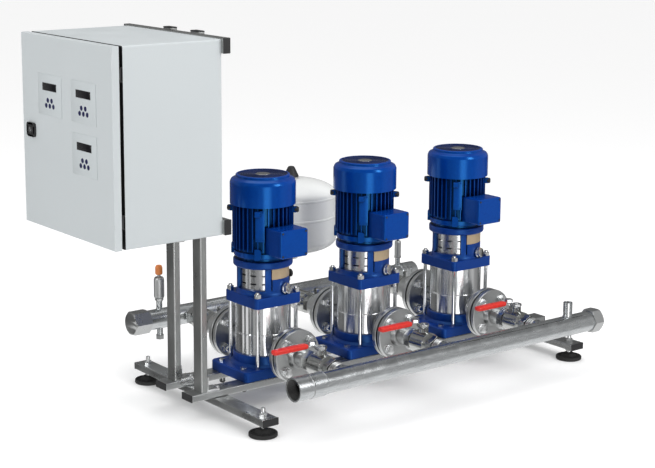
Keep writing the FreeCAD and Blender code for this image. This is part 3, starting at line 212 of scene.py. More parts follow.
world = bpy.data.worlds.new("white_room")
scene.world = world
world.use_nodes = True
tree = world.node_tree
tree.nodes.clear()
path = tree.nodes.new("ShaderNodeLightPath").outputs
parts = tree.nodes.new("ShaderNodeSeparateXYZ")
put(tree, parts.inputs[0], tree.nodes.new("ShaderNodeTexCoord").outputs["Generated"])
height = parts.outputs["Z"]
turn = calculate(tree, "ARCTAN2", parts.outputs["Y"], parts.outputs["X"])
share = calculate(tree, "ADD", calculate(tree, "MULTIPLY", turn, 0.5 / math.pi), 0.5)
room = blend(tree, flag_ramp(tree, share, low_flags), flag_ramp(tree, share, high_flags),
             spread(tree, height, *low_to_high))
room = blend(tree, room, overhead, spread(tree, height, *high_to_overhead))
room = blend(tree, underfoot, room, spread(tree, height, *underfoot_to_low))
soft_room = blend(tree, flag_ramp(tree, share, soft_flags), soft_overhead,
                  spread(tree, height, *soft_to_overhead))
lit = switched(tree, path["Is Glossy Ray"], shading(tree, soft_room), shading(tree, room))
seen = calculate(tree, "MAXIMUM", path["Is Camera Ray"], path["Is Transmission Ray"])
put(tree, tree.nodes.new("ShaderNodeOutputWorld").inputs[0],
    switched(tree, seen, lit, shading(tree, 1.0)))

floor_mesh = bpy.data.meshes.new("floor")
floor_reach, floor_glow, shade_reach = 30.0, 0.360, 0.35
floor_mesh.from_pydata([(x * floor_reach, y * floor_reach, 0)
                        for x, y in ((-1, -1), (1, -1), (1, 1), (-1, 1))], [], [(0, 1, 2, 3)])
floor = added("floor", floor_mesh)
paper = bpy.data.materials.new("floor_paper")
paper.use_nodes = True
tree = paper.node_tree
# Painted shadow: ambient occlusion dims the floor's glow near the object.
near = tree.nodes.new("ShaderNodeAmbientOcclusion")
near.inputs["Distance"].default_value = shade_reach
eye = tree.nodes.new("ShaderNodeLightPath").outputs["Is Camera Ray"]
glow = calculate(tree, "MULTIPLY", calculate(tree, "MULTIPLY", eye, floor_glow), near.outputs["AO"])
for label, value in (("Base Color", (0.80, 0.80, 0.80, 1)), ("Roughness", 0.7),
                     ("Specular IOR Level", 0.2), ("Emission Color", (1, 1, 1, 1)),
                     ("Emission Strength", glow)):
    put(tree, tree.nodes["Principled BSDF"].inputs[label], value)
floor_mesh.materials.append(paper)
floor.visible_glossy = False


def softbox(name, place, aim, wide, high, watts):
    """Soft rectangular lamp at a place, turned to an aim."""
    light = bpy.data.lights.new(name, "AREA")
    light.shape = "RECTANGLE"
    light.size = wide
    light.size_y = high
    light.energy = watts
    lamp = added(name, light)
    lamp.location = place
    lamp.rotation_euler = (Vector(aim) - Vector(place)).to_track_quat("-Z", "Y").to_euler()


softbox("lamp_over", (0.3, 0.5, 3.4), (0.5, 0.3, 0.2), 3.2, 2.6, 30)
softbox("lamp_front", (1.5, -3.2, 2.4), (0.4, 0.2, 0.4), 1.2, 1.6, 56)
softbox("lamp_end", (-3.4, 0.2, 1.7), (-0.4, 0.25, 0.8), 0.8, 1.0, 30)
print("room", len(low_flags) + len(high_flags), "flag stops")

# %% [markdown]
# Most finishes are a plain colour broken up by the same three things: a fine grain that runs one
# way on drawn metal and every way on paint, a slow clouding of the gloss, and a lighter line along
# worn edges. Each is a node group, which every finish places with its own values.

# %% Shared effects
def effect(name, outputs, **inputs):
    """A shader node group with named sockets; gives the group, its inputs and its outputs."""
    group = bpy.data.node_groups.new(name, "ShaderNodeTree")
    for label, value in inputs.items():
        kind = "NodeSocketVector" if isinstance(value, tuple) else "NodeSocketFloat"
        socket = group.interface.new_socket(name=label, in_out="INPUT", socket_type=kind)
        socket.default_value = value
    for label in outputs:
        group.interface.new_socket(name=label, in_out="OUTPUT", socket_type="NodeSocketFloat")
    return (group, group.nodes.new("NodeGroupInput").outputs,
            group.nodes.new("NodeGroupOutput").inputs)


def noise_in(group, scale, detail):
    """Noise in the row frame's own coordinates; gives its mapping node and its value."""
    mapping = group.nodes.new("ShaderNodeMapping")
    noise = group.nodes.new("ShaderNodeTexNoise")
    for socket, value in ((mapping.inputs["Vector"],
                           group.nodes.new("ShaderNodeTexCoord").outputs["Object"]),
                          (noise.inputs["Vector"], mapping.outputs["Vector"]),
                          (noise.inputs["Scale"], scale), (noise.inputs["Detail"], detail),
                          (noise.inputs["Roughness"], 0.55)):
        put(group, socket, value)
    return mapping, noise.outputs["Fac"]


grain, given, made = effect("fine_grain", ("Tone", "Height"), Stretch=(1, 1, 1), Scale=400.0,
                            Depth=1.0)
mapping, tone = noise_in(grain, given["Scale"], 3.0)
put(grain, mapping.inputs["Scale"], given["Stretch"])
put(grain, made["Tone"], tone)
put(grain, made["Height"], calculate(grain, "MULTIPLY", tone, given["Depth"]))

clouding, given, made = effect("clouding", ("Value",), Scale=9.0, Low=0.2, High=0.4)
mapping, tone = noise_in(clouding, given["Scale"], 4.0)
put(clouding, made["Value"], spread(clouding, tone, 0.35, 0.65, given["Low"], given["High"]))

edge_wear, given, made = effect("edge_wear", ("Mask",), Start=0.52, End=0.60, Amount=0.5)
mapping, tone = noise_in(edge_wear, 60.0, 3.0)
edges = edge_wear.nodes.new("ShaderNodeNewGeometry").outputs["Pointiness"]
rim = spread(edge_wear, edges, given["Start"], given["End"])
patchy = calculate(edge_wear, "MULTIPLY", rim, tone)
put(edge_wear, made["Mask"], calculate(edge_wear, "MULTIPLY", patchy, given["Amount"]))
print("effects", [g.name for g in bpy.data.node_groups])

# %% [markdown]
# A finish is named for what the maker would order: powder coat, enamel, pickled stainless. One
# helper wires the effects into a Principled shader for all of them, and each finish states its own
# colour, gloss and grain. Values that don't vary stay on the shader's sockets.

# %% Finishes
gap_reach = 25 * MM


def placed(tree, group, **values):
    """A shared effect with values on its sockets; gives its outputs."""
    node = tree.nodes.new("ShaderNodeGroup")
    node.node_tree = group
    for label, value in values.items():
        node.inputs[label].default_value = value
    return node.outputs


def finish(name, colour, shade, gloss, metal=0.0, coat=0.0, run=(1, 1, 1), fine=400.0,
           bump=0.02, wear=0.0, worn=(0.8, 0.8, 0.8), cloud=9.0, glint=(1, 1, 1), level=0.5,
           brushed=0.0, hollow=0.0):
    """Material whose colour runs from shade to colour with the grain; gloss is low, high roughness.

    Brushed is how far the gloss is drawn out along the axis of a piece that was polished turning.
    The gap shade value darkens the colour in gaps and creases that ambient occlusion finds: painted
    shade."""
    made = bpy.data.materials.new(name)
    made.use_nodes = True
    tree = made.node_tree
    sockets = tree.nodes["Principled BSDF"].inputs
    fibres = placed(tree, grain, Stretch=run, Scale=fine)
    surface = blend(tree, shade, colour, spread(tree, fibres["Tone"], 0.25, 0.75))
    if wear:
        surface = blend(tree, surface, worn, placed(tree, edge_wear, Amount=wear)["Mask"])
    # Painted shade: the colour darkens in gaps and creases found by ambient occlusion.
    if hollow:
        gaps = tree.nodes.new("ShaderNodeAmbientOcclusion")
        gaps.inputs["Distance"].default_value = gap_reach
        surface = blend(tree, [v * (1 - hollow) for v in shade], surface, gaps.outputs["AO"])
    if brushed:
        around = tree.nodes.new("ShaderNodeTangent")
        around.direction_type = "RADIAL"
        around.axis = "Z"
        put(tree, sockets["Anisotropic"], brushed)
        put(tree, sockets["Anisotropic Rotation"], 0.25)
        put(tree, sockets["Tangent"], around.outputs["Tangent"])
    relief = tree.nodes.new("ShaderNodeBump")
    put(tree, relief.inputs["Distance"], bump * MM)
    put(tree, relief.inputs["Height"], fibres["Height"])
    uneven = placed(tree, clouding, Scale=cloud, Low=gloss[0], High=gloss[1])
    for label, value in (("Base Color", surface), ("Metallic", metal), ("Coat Weight", coat),
                         ("Coat Roughness", 0.06), ("Specular IOR Level", level),
                         ("Specular Tint", opaque(glint)), ("Roughness", uneven["Value"]),
                         ("Normal", relief.outputs["Normal"])):
        put(tree, sockets[label], value)
    return made


cabinet_coat = finish("cabinet_powder_coat", (0.61, 0.65, 0.665), (0.58, 0.62, 0.635),
                      (0.38, 0.48), fine=900.0, bump=0.05, wear=0.15)
blue_enamel = finish("blue_enamel", (0.001, 0.046, 0.31), (0.001, 0.037, 0.26), (0.17, 0.24),
                     fine=160.0, bump=0.03, wear=0.08, worn=(0.03, 0.12, 0.45),
                     glint=(0.07, 0.42, 1.0), level=1.0, hollow=0.95)
blue_casting = finish("blue_cast_enamel", (0.005, 0.040, 0.27), (0.004, 0.030, 0.20), (0.28, 0.40),
                      fine=260.0, bump=0.14, wear=0.10, worn=(0.04, 0.12, 0.40),
                      glint=(0.15, 0.45, 1.0), level=0.8, hollow=0.9)
tank_enamel = finish("tank_enamel", (0.90, 0.91, 0.90), (0.87, 0.88, 0.87), (0.22, 0.30), coat=0.1,
                     fine=140.0, bump=0.03)
tube_satin = finish("frame_tube_satin", (0.52, 0.53, 0.53), (0.34, 0.35, 0.35), (0.22, 0.36),
                    metal=1.0, fine=500.0, bump=0.03, wear=0.25)
post_satin = finish("post_satin", (0.54, 0.55, 0.54), (0.38, 0.39, 0.39), (0.26, 0.36), metal=1.0,
                    run=(1, 1, 0.06), fine=700.0, bump=0.03, wear=0.2)
polished = finish("barrel_polish", (0.83, 0.84, 0.85), (0.76, 0.77, 0.78), (0.06, 0.11), metal=1.0,
                  run=(1, 1, 0.03), fine=900.0, bump=0.004)
guard_steel = finish("guard_steel", (0.62, 0.63, 0.64), (0.50, 0.51, 0.52), (0.16, 0.24),
                     metal=1.0, run=(1, 1, 0.03), fine=900.0, bump=0.004)
sleeve_polish = finish("sleeve_polish", (0.80, 0.81, 0.82), (0.72, 0.73, 0.74), (0.15, 0.20),
                       metal=1.0, run=(1, 1, 0.03), fine=900.0, bump=0.001, brushed=0.95)
pickled = finish("pipe_pickled_stainless", (0.66, 0.68, 0.69), (0.46, 0.48, 0.49), (0.20, 0.32),
                 metal=1.0, run=(0.12, 1, 1), fine=260.0, bump=0.02, wear=0.15, cloud=22.0)
valve_nickel = finish("valve_nickel", (0.64, 0.65, 0.64), (0.42, 0.43, 0.42), (0.12, 0.22),
                      metal=1.0, fine=300.0, bump=0.03, wear=0.25, cloud=40.0, hollow=0.85)
cast_steel = finish("flange_cast_stainless", (0.62, 0.63, 0.63), (0.46, 0.47, 0.47), (0.26, 0.40),
                    metal=1.0, fine=700.0, bump=0.08, wear=0.25, hollow=0.6)
zinc = finish("zinc_plate", (0.84, 0.85, 0.86), (0.68, 0.69, 0.69), (0.16, 0.26), metal=1.0,
              fine=300.0, bump=0.02, wear=0.2)
grille_navy = finish("grille_navy", (0.014, 0.030, 0.13), (0.010, 0.022, 0.10), (0.26, 0.34),
                     fine=300.0, bump=0.02, level=0.8)
black_moulding = finish("black_moulding", (0.022, 0.022, 0.024), (0.014, 0.014, 0.015),
                        (0.42, 0.55), fine=800.0, bump=0.05)
black_rubber = finish("black_rubber", (0.020, 0.020, 0.020), (0.012, 0.012, 0.012), (0.62, 0.75),
                      fine=500.0, bump=0.06)
pale_moulding = finish("pale_moulding", (0.55, 0.56, 0.55), (0.50, 0.51, 0.50), (0.36, 0.46),
                       fine=700.0, bump=0.03)
red_sleeve = finish("red_dipped_sleeve", (0.80, 0.030, 0.018), (0.66, 0.020, 0.012), (0.22, 0.32),
                    coat=0.3, fine=200.0, bump=0.05)
foil = finish("keypad_foil", (0.60, 0.645, 0.66), (0.58, 0.62, 0.635), (0.30, 0.38), fine=1200.0,
              bump=0.02)
display = finish("display_pane", (0.010, 0.010, 0.012), (0.006, 0.006, 0.008), (0.05, 0.09),
                 coat=0.6, fine=300.0, bump=0.002)
key_blue = finish("key_blue", (0.012, 0.014, 0.085), (0.008, 0.009, 0.055), (0.28, 0.36),
                  fine=600.0, bump=0.02)
# Dark threads and bore liner: painted shade inside the pipe mouths.
thread_dark = finish("thread_dark", (0.10, 0.10, 0.10), (0.04, 0.04, 0.04), (0.34, 0.44),
                     metal=0.6, fine=400.0, bump=0.02)
plate_tan = finish("bare_plate_tan", (0.66, 0.52, 0.34), (0.56, 0.42, 0.27), (0.26, 0.36),
                   metal=0.4, fine=500.0, bump=0.02)
connector_orange = finish("connector_orange", (0.78, 0.26, 0.07), (0.66, 0.20, 0.05), (0.30, 0.40),
                          fine=500.0, bump=0.03)
print("finishes", len(bpy.data.materials))

# %% [markdown]
# The nodes of the frame whose shape is right are kept. Their meshes come in with each face patch
# apart, so a Weld joins the patches and a narrow Bevel then rounds the edges that a real part
# breaks or deburrs, with normals hardened so that flat faces stay flat.

# %% Finishes on the nodes of the frame
def expanded(rows):
    """One value for each node; a name that ends in an underscore stands for the three pumps' own."""
    return {name + n: value for value, names in rows for name in names.split()
            for n in (pump_numbers if name.endswith("_") else ("",))}


node_finish = expanded((
    (tube_satin, "frame_rails cross_tubes"),
    (post_satin, "cabinet_posts cabinet_struts"),
    (black_moulding, "end_caps lock_housing drive_units motor_fan_"),
    (black_rubber, "foot_pads door_seal flange_gaskets"),
    (zinc, "foot_studs frame_bolts lock_cam mounting_plate flange_bolts shaft_line_ "
           "suction_lever_ delivery_handle_"),
    (cabinet_coat, "cabinet_shell cabinet_door"),
    (foil, "keypads"),
    (pale_moulding, "terminal_rail cable_glands"),
    (guard_steel, "coupling_guards"),
    (cast_steel, "filling_plugs pipe_flanges check_valves_and_nipples pipe_caps tank_valve "
                 "transmitters"),
    (polished, "tie_rods pump_barrel_"),
    (blue_enamel, "terminal_boxes motor_body_ fan_cowl_"),
    (valve_nickel, "valve_bodies"),
    (pickled, "suction_manifold delivery_manifold"),
    (tank_enamel, "tank"),
    (blue_casting, "pump_base_ motor_bracket_")))
edge_round = expanded((
    (0.8, "frame_rails cross_tubes cabinet_posts cabinet_struts cabinet_shell cabinet_door "
          "lock_housing pipe_caps"),
    (0.6, "end_caps valve_bodies check_valves_and_nipples"),
    (1.0, "drive_units motor_bracket_"),
    (2.5, "terminal_boxes"),
    (0.5, "pipe_flanges flange_bolts frame_bolts filling_plugs terminal_rail suction_manifold "
          "delivery_manifold motor_body_"),
    (0.4, "tie_rods cable_glands foot_studs"),
    (1.2, "pump_base_")))
for name, node in nodes.items():
    node.data.materials.clear()
    node.data.materials.append(node_finish[name])
    node.data.shade_smooth()
    if name in edge_round:
        if "custom_normal" in node.data.attributes:
            node.data.attributes.remove(node.data.attributes["custom_normal"])
        joined = node.modifiers.new("joined", "WELD")
        joined.merge_threshold = 0.00002
        rounded_edges = node.modifiers.new("rounded", "BEVEL")
        rounded_edges.width = edge_round[name] * MM
        rounded_edges.segments = 2
        rounded_edges.angle_limit = math.radians(40)
        rounded_edges.harden_normals = True
print("nodes finished", len(node_finish), "rounded", len(edge_round))

# %% [markdown]
# New pieces are made from a few forms: a lathe for what is turned or spun, a slab with rounded
# edges, a hexagon with its turned chamfer, and a round bar along a path. Each writes into a bmesh,
# so that one piece can be built from several of them.

# %% Makers of plain forms
def softened(points, radius, steps=4):
    """The same outline with its inner corners rounded, each by a short curve."""
    made = [Vector(points[0])]
    for before, corner, after in zip(points, points[1:], points[2:]):
        before, corner, after = Vector(before), Vector(corner), Vector(after)
        back = min(radius, (before - corner).length * 0.48)
        forth = min(radius, (after - corner).length * 0.48)
        start = corner + (before - corner).normalized() * back
        end = corner + (after - corner).normalized() * forth
        for i in range(steps + 1):
            t = i / steps
            made.append(start * (1 - t) ** 2 + corner * 2 * t * (1 - t) + end * t ** 2)
    return [tuple(p) for p in made + [Vector(points[-1])]]


def aimed(axis):
    return Vector(axis).to_track_quat("Z", "Y").to_matrix()


def spoke(angle):
    return Vector((math.cos(angle), math.sin(angle), 0))


def at(axis, level=0.0):
    """Point on a pump's or the tank's upright axis."""
    return Vector((axis.x, axis.y, level))


def skin(bm, rows, ring=False, capped=True):
    """Faces between loops of as many vertices each; ring joins the last loop to the first."""
    sides = len(rows[0])
    for low, high in zip(rows, rows[1:] + (rows[:1] if ring else [])):
        for k in range(sides):
            bm.faces.new((low[k], low[(k + 1) % sides], high[(k + 1) % sides], high[k]))
    if capped:
        bm.faces.new(rows[0])
        bm.faces.new(rows[-1])


def lathe(bm, profile, place, axis=UP, steps=96, ring=False, soft=0.0):
    """Turn (radius, height) points about an axis, with inner corners rounded by soft."""
    turn = aimed(axis)
    rows = []
    for radius, height in softened(profile, soft) if soft else profile:
        count = steps if radius > 1e-6 else 1
        rows.append([bm.verts.new(turn @ (spoke(2 * math.pi * k / steps) * radius + UP * height)
                                  + Vector(place)) for k in range(count)])
    for low, high in zip(rows, rows[1:] + (rows[:1] if ring else [])):
        for k in range(steps):
            loop = [low[k % len(low)], low[(k + 1) % len(low)],
                    high[(k + 1) % len(high)], high[k % len(high)]]
            loop = list(dict.fromkeys(loop))
            if len(loop) > 2:
                bm.faces.new(loop)


def pin(bm, radius, length, place, axis=UP, steps=24):
    lathe(bm, [(0, 0), (radius, 0), (radius, length), (0, length)], place, axis, steps)


def slab(bm, low, high, radius, segments=3):
    """Box between two corners with all its edges rounded."""
    size = Vector(high) - Vector(low)
    made = bmesh.ops.create_cube(bm, size=1.0)["verts"]
    for vert in made:
        vert.co = Vector(low) + Vector((size[i] * (vert.co[i] + 0.5) for i in range(3)))
    edges = list({edge for vert in made for edge in vert.link_edges})
    bmesh.ops.bevel(bm, geom=edges, offset=min(radius, min(size) * 0.49), segments=segments,
                    affect="EDGES", profile=0.5)


def hex_form(bm, flats, height, place, axis=UP, bore=0.0, both=False):
    """Hexagon with the turned chamfer of a nut; both chamfers its two ends, bore leaves a hole."""
    turn = aimed(axis)
    steps = 48
    inner = flats / 2
    rows = [[], [], [], [], [], []]
    for k in range(steps):
        a = 2 * math.pi * k / steps
        off = (a + math.pi / 6) % (math.pi / 3) - math.pi / 6
        reach = inner / math.cos(off)
        drop = (reach - inner * 0.97) * 0.58
        low_drop = drop if both else 0.0
        stations = ((bore, 0.0), (inner * 0.95 if both else reach, 0.0), (reach, low_drop),
                    (reach, height - drop), (inner * 0.95, height), (bore, height))
        for row, (radius, level) in zip(rows, stations):
            row.append(bm.verts.new(turn @ (spoke(a) * radius + UP * level) + Vector(place)))
    skin(bm, rows, ring=bool(bore), capped=False)
    bmesh.ops.remove_doubles(bm, verts=[v for row in rows for v in row], dist=1e-6)


def bar(bm, points, radius, sides=10, closed=False):
    """Round bar along points; radius is a number or one for each point."""
    count = len(points)
    points = [Vector(p) for p in points]
    rows = []
    side = None
    for i, point in enumerate(points):
        before = points[i - 1] if closed or i else point
        after = points[(i + 1) % count] if closed or i < count - 1 else point
        along = (after - before).normalized()
        side = (side - along * side.dot(along) if side else along.orthogonal()).normalized()
        cross = along.cross(side)
        r = radius[i] if isinstance(radius, (list, tuple)) else radius
        rows.append([bm.verts.new(point + (side * math.cos(a) + cross * math.sin(a)) * r)
                     for a in (2 * math.pi * k / sides for k in range(sides))])
    skin(bm, rows, ring=closed, capped=not closed)


def thread(bm, radius, length, place, axis, pitch=0.0015):
    """Shallow rings that stand for a screw thread."""
    profile = [(0, 0)]
    turns = max(1, int(length / pitch))
    for k in range(turns):
        profile += [(radius * 0.93, k * pitch), (radius, (k + 0.5) * pitch)]
    profile += [(radius * 0.9, turns * pitch), (0, turns * pitch)]
    lathe(bm, profile, place, axis, steps=24)


def washer(bm, outer, inner, thick, place, axis):
    lathe(bm, [(inner, 0), (outer, 0), (outer, thick), (inner, thick)], place, axis, steps=32,
          ring=True)


def piece(name, bm, made_of, body, slot, *stands_for):
    """Turn a bmesh into a smooth-shaded piece that rides on a body and stands for nodes."""
    bmesh.ops.recalc_face_normals(bm, faces=bm.faces)
    mesh = bpy.data.meshes.new(name)
    bm.to_mesh(mesh)
    bm.free()
    mesh.shade_smooth()
    mesh.set_sharp_from_angle(angle=math.radians(38))
    mesh.materials.append(made_of)
    made = added(name, mesh)
    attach(made, body)
    if stands_for:
        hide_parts(*stands_for)
    return made


print("forms ready")

# %% [markdown]
# The fan cowl is spun sheet with a stepped shoulder. The grille in its crown is built as it is on
# such a cowl, as rings and radial wires round a small disc, over a dark fan.

# %% Fan cowls
cowl_radius, cowl_high, cowl_wall = 92.5 * MM, 83 * MM, 2.5 * MM
crown_radius, open_radius = 76 * MM, 69 * MM
grille_rings, ring_pitch, first_ring, grille_wires = 12, 4.7 * MM, 14 * MM, 30


def fan_cowl(axis, low):
    bm = bmesh.new()
    r, h, wall, crown = cowl_radius, cowl_high, cowl_wall, crown_radius
    outside = [(r, 0), (r, h - 0.022), (r - 0.004, h - 0.0135), (crown + 0.004, h - 0.0095),
               (crown + 0.0005, h - 0.0075), (crown, h - 0.0015), (crown - 0.003, h),
               (open_radius, h)]
    inside = [(open_radius, h - wall), (crown - 0.004, h - wall), (crown - 0.002, h - 0.011),
              (r - 0.006, h - 0.0165), (r - wall, h - 0.024), (r - wall, 0)]
    lathe(bm, softened(outside, 2.5 * MM) + inside, at(axis, low), steps=128, ring=True)
    return bm


def cowl_grille(axis, low):
    """Rings and radial wires round a small disc, let into the cowl's crown."""
    bm = bmesh.new()
    for k in range(grille_rings):
        radius = first_ring + ring_pitch * k
        wire = [(radius, -0.0035), (radius + 0.0014, -0.0035), (radius + 0.0014, -0.0012),
                (radius, -0.0012)]
        lathe(bm, wire, at(axis, low + cowl_high), steps=72, ring=True)
    for k in range(grille_wires):
        out = spoke(2 * math.pi * k / grille_wires)
        start = at(axis, low + cowl_high - 0.0028)
        bar(bm, [start + out * 0.012, start + out * (open_radius + 0.0005)], 0.8 * MM, sides=6)
    return bm


for n, axis in pumps:
    low = bottom("fan_cowl_" + n)
    piece("cowl_" + n, fan_cowl(axis, low), blue_enamel, "set", "blue_paint", "fan_cowl_" + n)
    piece("cowl_grille_" + n, cowl_grille(axis, low), grille_navy, "set", "blue_paint")
    bm = bmesh.new()
    lathe(bm, [(0, 0.0795), (0.021, 0.0795), (0.021, 0.0818), (0.018, 0.0826), (0.013, 0.0818),
               (0, 0.0818)], at(axis, low), steps=48, soft=0.4 * MM)
    piece("cowl_disc_" + n, bm, zinc, "set", "zinc_steel")
print("cowls", len(pump_axes))

# %% [markdown]
# The pump's barrel is a polished sleeve with one swaged seam. A mirror shows every facet, so the
# sleeve is turned again with many steps in place of the node's triangles.

# %% Polished barrels
def barrel(axis):
    bm = bmesh.new()
    r = 79 * MM
    low, seam, high = 112 * MM, 192 * MM, 274.4 * MM
    sleeve = [(0, low), (r, low), (r, seam - 0.002), (r + 0.0005, seam - 0.001),
              (r + 0.0005, seam + 0.001), (r - 0.0004, seam + 0.002), (r - 0.0004, high), (0, high)]
    lathe(bm, sleeve, at(axis), steps=192, soft=1.5 * MM)
    for side in (-1, 1):
        stub = [(0.022, 0.070), (0.024, 0.070), (0.024, 0.146), (0.044, 0.146), (0.044, 0.150),
                (0.019, 0.150), (0.019, 0.146), (0.019, 0.070)]
        lathe(bm, stub, at(axis, port_z), (0, side, 0), ring=True)
    return bm


for n, axis in pumps:
    piece("barrel_" + n, barrel(axis), sleeve_polish, "set", "stainless", "pump_barrel_" + n)
print("barrels", len(pump_axes))

# %% [markdown]
# The motor carries a bare plate riveted across its fins on the side that faces the camera, and the
# lantern a bare plate over the top of its right window.

# %% Bare plates
fin_tips, motor_plate_low, motor_plate_high, motor_plate_angle = 85.8 * MM, 0.462, 0.549, 229
lantern_angle, lantern_plate_low, lantern_plate_high = 284, 0.351, 0.383


def bent_plate(bm, axis, radius, thick, middle_angle, half_angle, low, high, steps=14):
    """Curved plate between two levels, with square corners."""
    rows = []
    for k in range(steps + 1):
        out = spoke(math.radians(middle_angle + half_angle * (2 * k / steps - 1)))
        rows.append([bm.verts.new(at(axis, level) + out * (radius + depth)) for level, depth in
                     ((low, 0), (low, thick), (high, thick), (high, 0))])
    skin(bm, rows)


def rivet(bm, place, out, radius=0.0025):
    dome = [(radius, 0), (radius * 0.9, radius * 0.35), (radius * 0.5, radius * 0.6),
            (0, radius * 0.7)]
    lathe(bm, dome, place, out, steps=16)


for n, axis in pumps:
    bm = bmesh.new()
    bent_plate(bm, axis, fin_tips, 0.0010, motor_plate_angle, 8.4, motor_plate_low, motor_plate_high)
    for a, z in product((-6, 6), (motor_plate_low + 0.004, motor_plate_high - 0.004)):
        out = spoke(math.radians(motor_plate_angle + a))
        rivet(bm, at(axis, z) + out * (fin_tips + 0.0009), out)
    piece("motor_plate_" + n, bm, blue_enamel, "set", "blue_paint")
    bm = bmesh.new()
    bent_plate(bm, axis, 0.0741, 0.0007, lantern_angle, 30, lantern_plate_low, lantern_plate_high,
               steps=24)
    piece("lantern_plate_" + n, bm, plate_tan, "set", "stainless")
print("bare plates", 2 * len(pump_axes))

# %% [markdown]
# Dark round screws hold each cowl to the lugs of its motor, except the lug under the motor's plate.
# Below the bare plate of the lantern a thin blue cast sheet stands for the boss of the filling plug
# and for the shade in the window's lower part, and the plug has a wide bright hexagon.

# %% Cowl screws and filling plugs
lug_level, plug_level, plug_out = 540 * MM, 322 * MM, spoke(math.radians(-72))
screws, plugs = bmesh.new(), bmesh.new()
for n, axis in pumps:
    for k in (0, 1, 3):
        out = spoke(math.radians(45 + 90 * k))
        lathe(screws, [(0, 0), (0.0085, 0), (0.0085, 0.008), (0.006, 0.011), (0, 0.011)],
              at(axis, lug_level) + out * 0.0905, out, steps=32, soft=0.0015)
    seat = at(axis, plug_level) + plug_out * 0.0765
    washer(plugs, 0.0155, 0.008, 0.003, seat, plug_out)
    hex_form(plugs, 0.026, 0.011, seat + plug_out * 0.003, plug_out)
    # Partly painted shade: a thin sheet over the window's lower part, in place of its shaded opening.
    bm = bmesh.new()
    bent_plate(bm, axis, 0.0736, 0.0015, lantern_angle, 29, 0.3186, lantern_plate_low - 0.0005,
               steps=24)
    piece("plug_boss_and_shade_sheet_" + n, bm, blue_casting, "set", "blue_paint")
piece("cowl_screws", screws, black_moulding, "set", "black_plastic")
piece("plug_heads", plugs, zinc, "set", "stainless", "filling_plugs")
print("cowl screws", 3 * len(pump_axes), "plugs", len(pump_axes))

# %% [markdown]
# Each bolt and nut of the flanges has its chamfered hexagon and a washer, and each bolt ends in a
# stub of thread. They are one piece.

# %% Flange bolts
bm = bmesh.new()
bolt_ring, loose_back, bolt_radius = 55 * MM, 131.7 * MM, 7.8 * MM
for axis, side, k in product(pump_axes, (-1, 1), range(4)):
    out = Vector((0, side, 0))
    a = math.radians(45 + 90 * k)
    line = at(axis, port_z) + Vector((math.cos(a), 0, math.sin(a))) * bolt_ring
    face, back = line + out * flange_face, line + out * loose_back
    washer(bm, 0.0145, 0.008, 0.002, face, out)
    hex_form(bm, 0.024, 0.010, face + out * 0.002, out)
    washer(bm, 0.0145, 0.008, 0.002, back, -out)
    hex_form(bm, 0.024, 0.013, back - out * 0.002, -out, bore=bolt_radius)
    pin(bm, bolt_radius, 0.048, back - out * 0.014, out)
    thread(bm, 0.008, 0.006, back - out * 0.0145, -out)
piece("flange_fasteners", bm, zinc, "set", "zinc_steel", "flange_bolts")
print("flange bolts", 8 * len(pump_axes))

# %% [markdown]
# Each suction valve has a flat steel lever with a joggle, a nut on the stem, a bright hexagon where
# the lever is at its full height and a red dipped sleeve over its outer end. The node has them all in
# one, so it is made again as pieces with their own finishes, all riding on the valve's body.

# %% Suction levers
def strip(bm, path, half_wide, place_y, thick):
    """Flat bar along (x, z) points, with its own half width at each point."""
    rows = []
    for (x, z), w in zip(path, half_wide):
        rows.append([bm.verts.new((x, place_y + side * w, z + up)) for side, up in
                     ((-1, 0), (1, 0), (1, thick), (-1, thick))])
    skin(bm, rows)


def sleeve(bm, start_x, length, place_y, place_z, half_wide, half_high):
    """Dipped sleeve: a flattened round section that closes in a soft nose at its outer end."""
    steps, sides, squareness = 40, 28, 0.55
    rows = []
    for i in range(steps + 1):
        t = i / steps
        nose = math.sqrt(max(0.0, 1 - max(0.0, (0.07 - t) / 0.07) ** 2.4))
        lip = 1.0 - 0.10 * max(0.0, (t - 0.96) / 0.04)
        size = max(0.02, nose * lip) * (1 + 0.05 * math.sin(math.pi * t))
        row = []
        for k in range(sides):
            c, s, _ = spoke(2 * math.pi * k / sides)
            y = half_wide * math.copysign(abs(c) ** squareness, c) * size
            z = half_high * math.copysign(abs(s) ** squareness, s) * size
            row.append(bm.verts.new((start_x + length * t, place_y + y, place_z + z)))
        rows.append(row)
    skin(bm, rows)


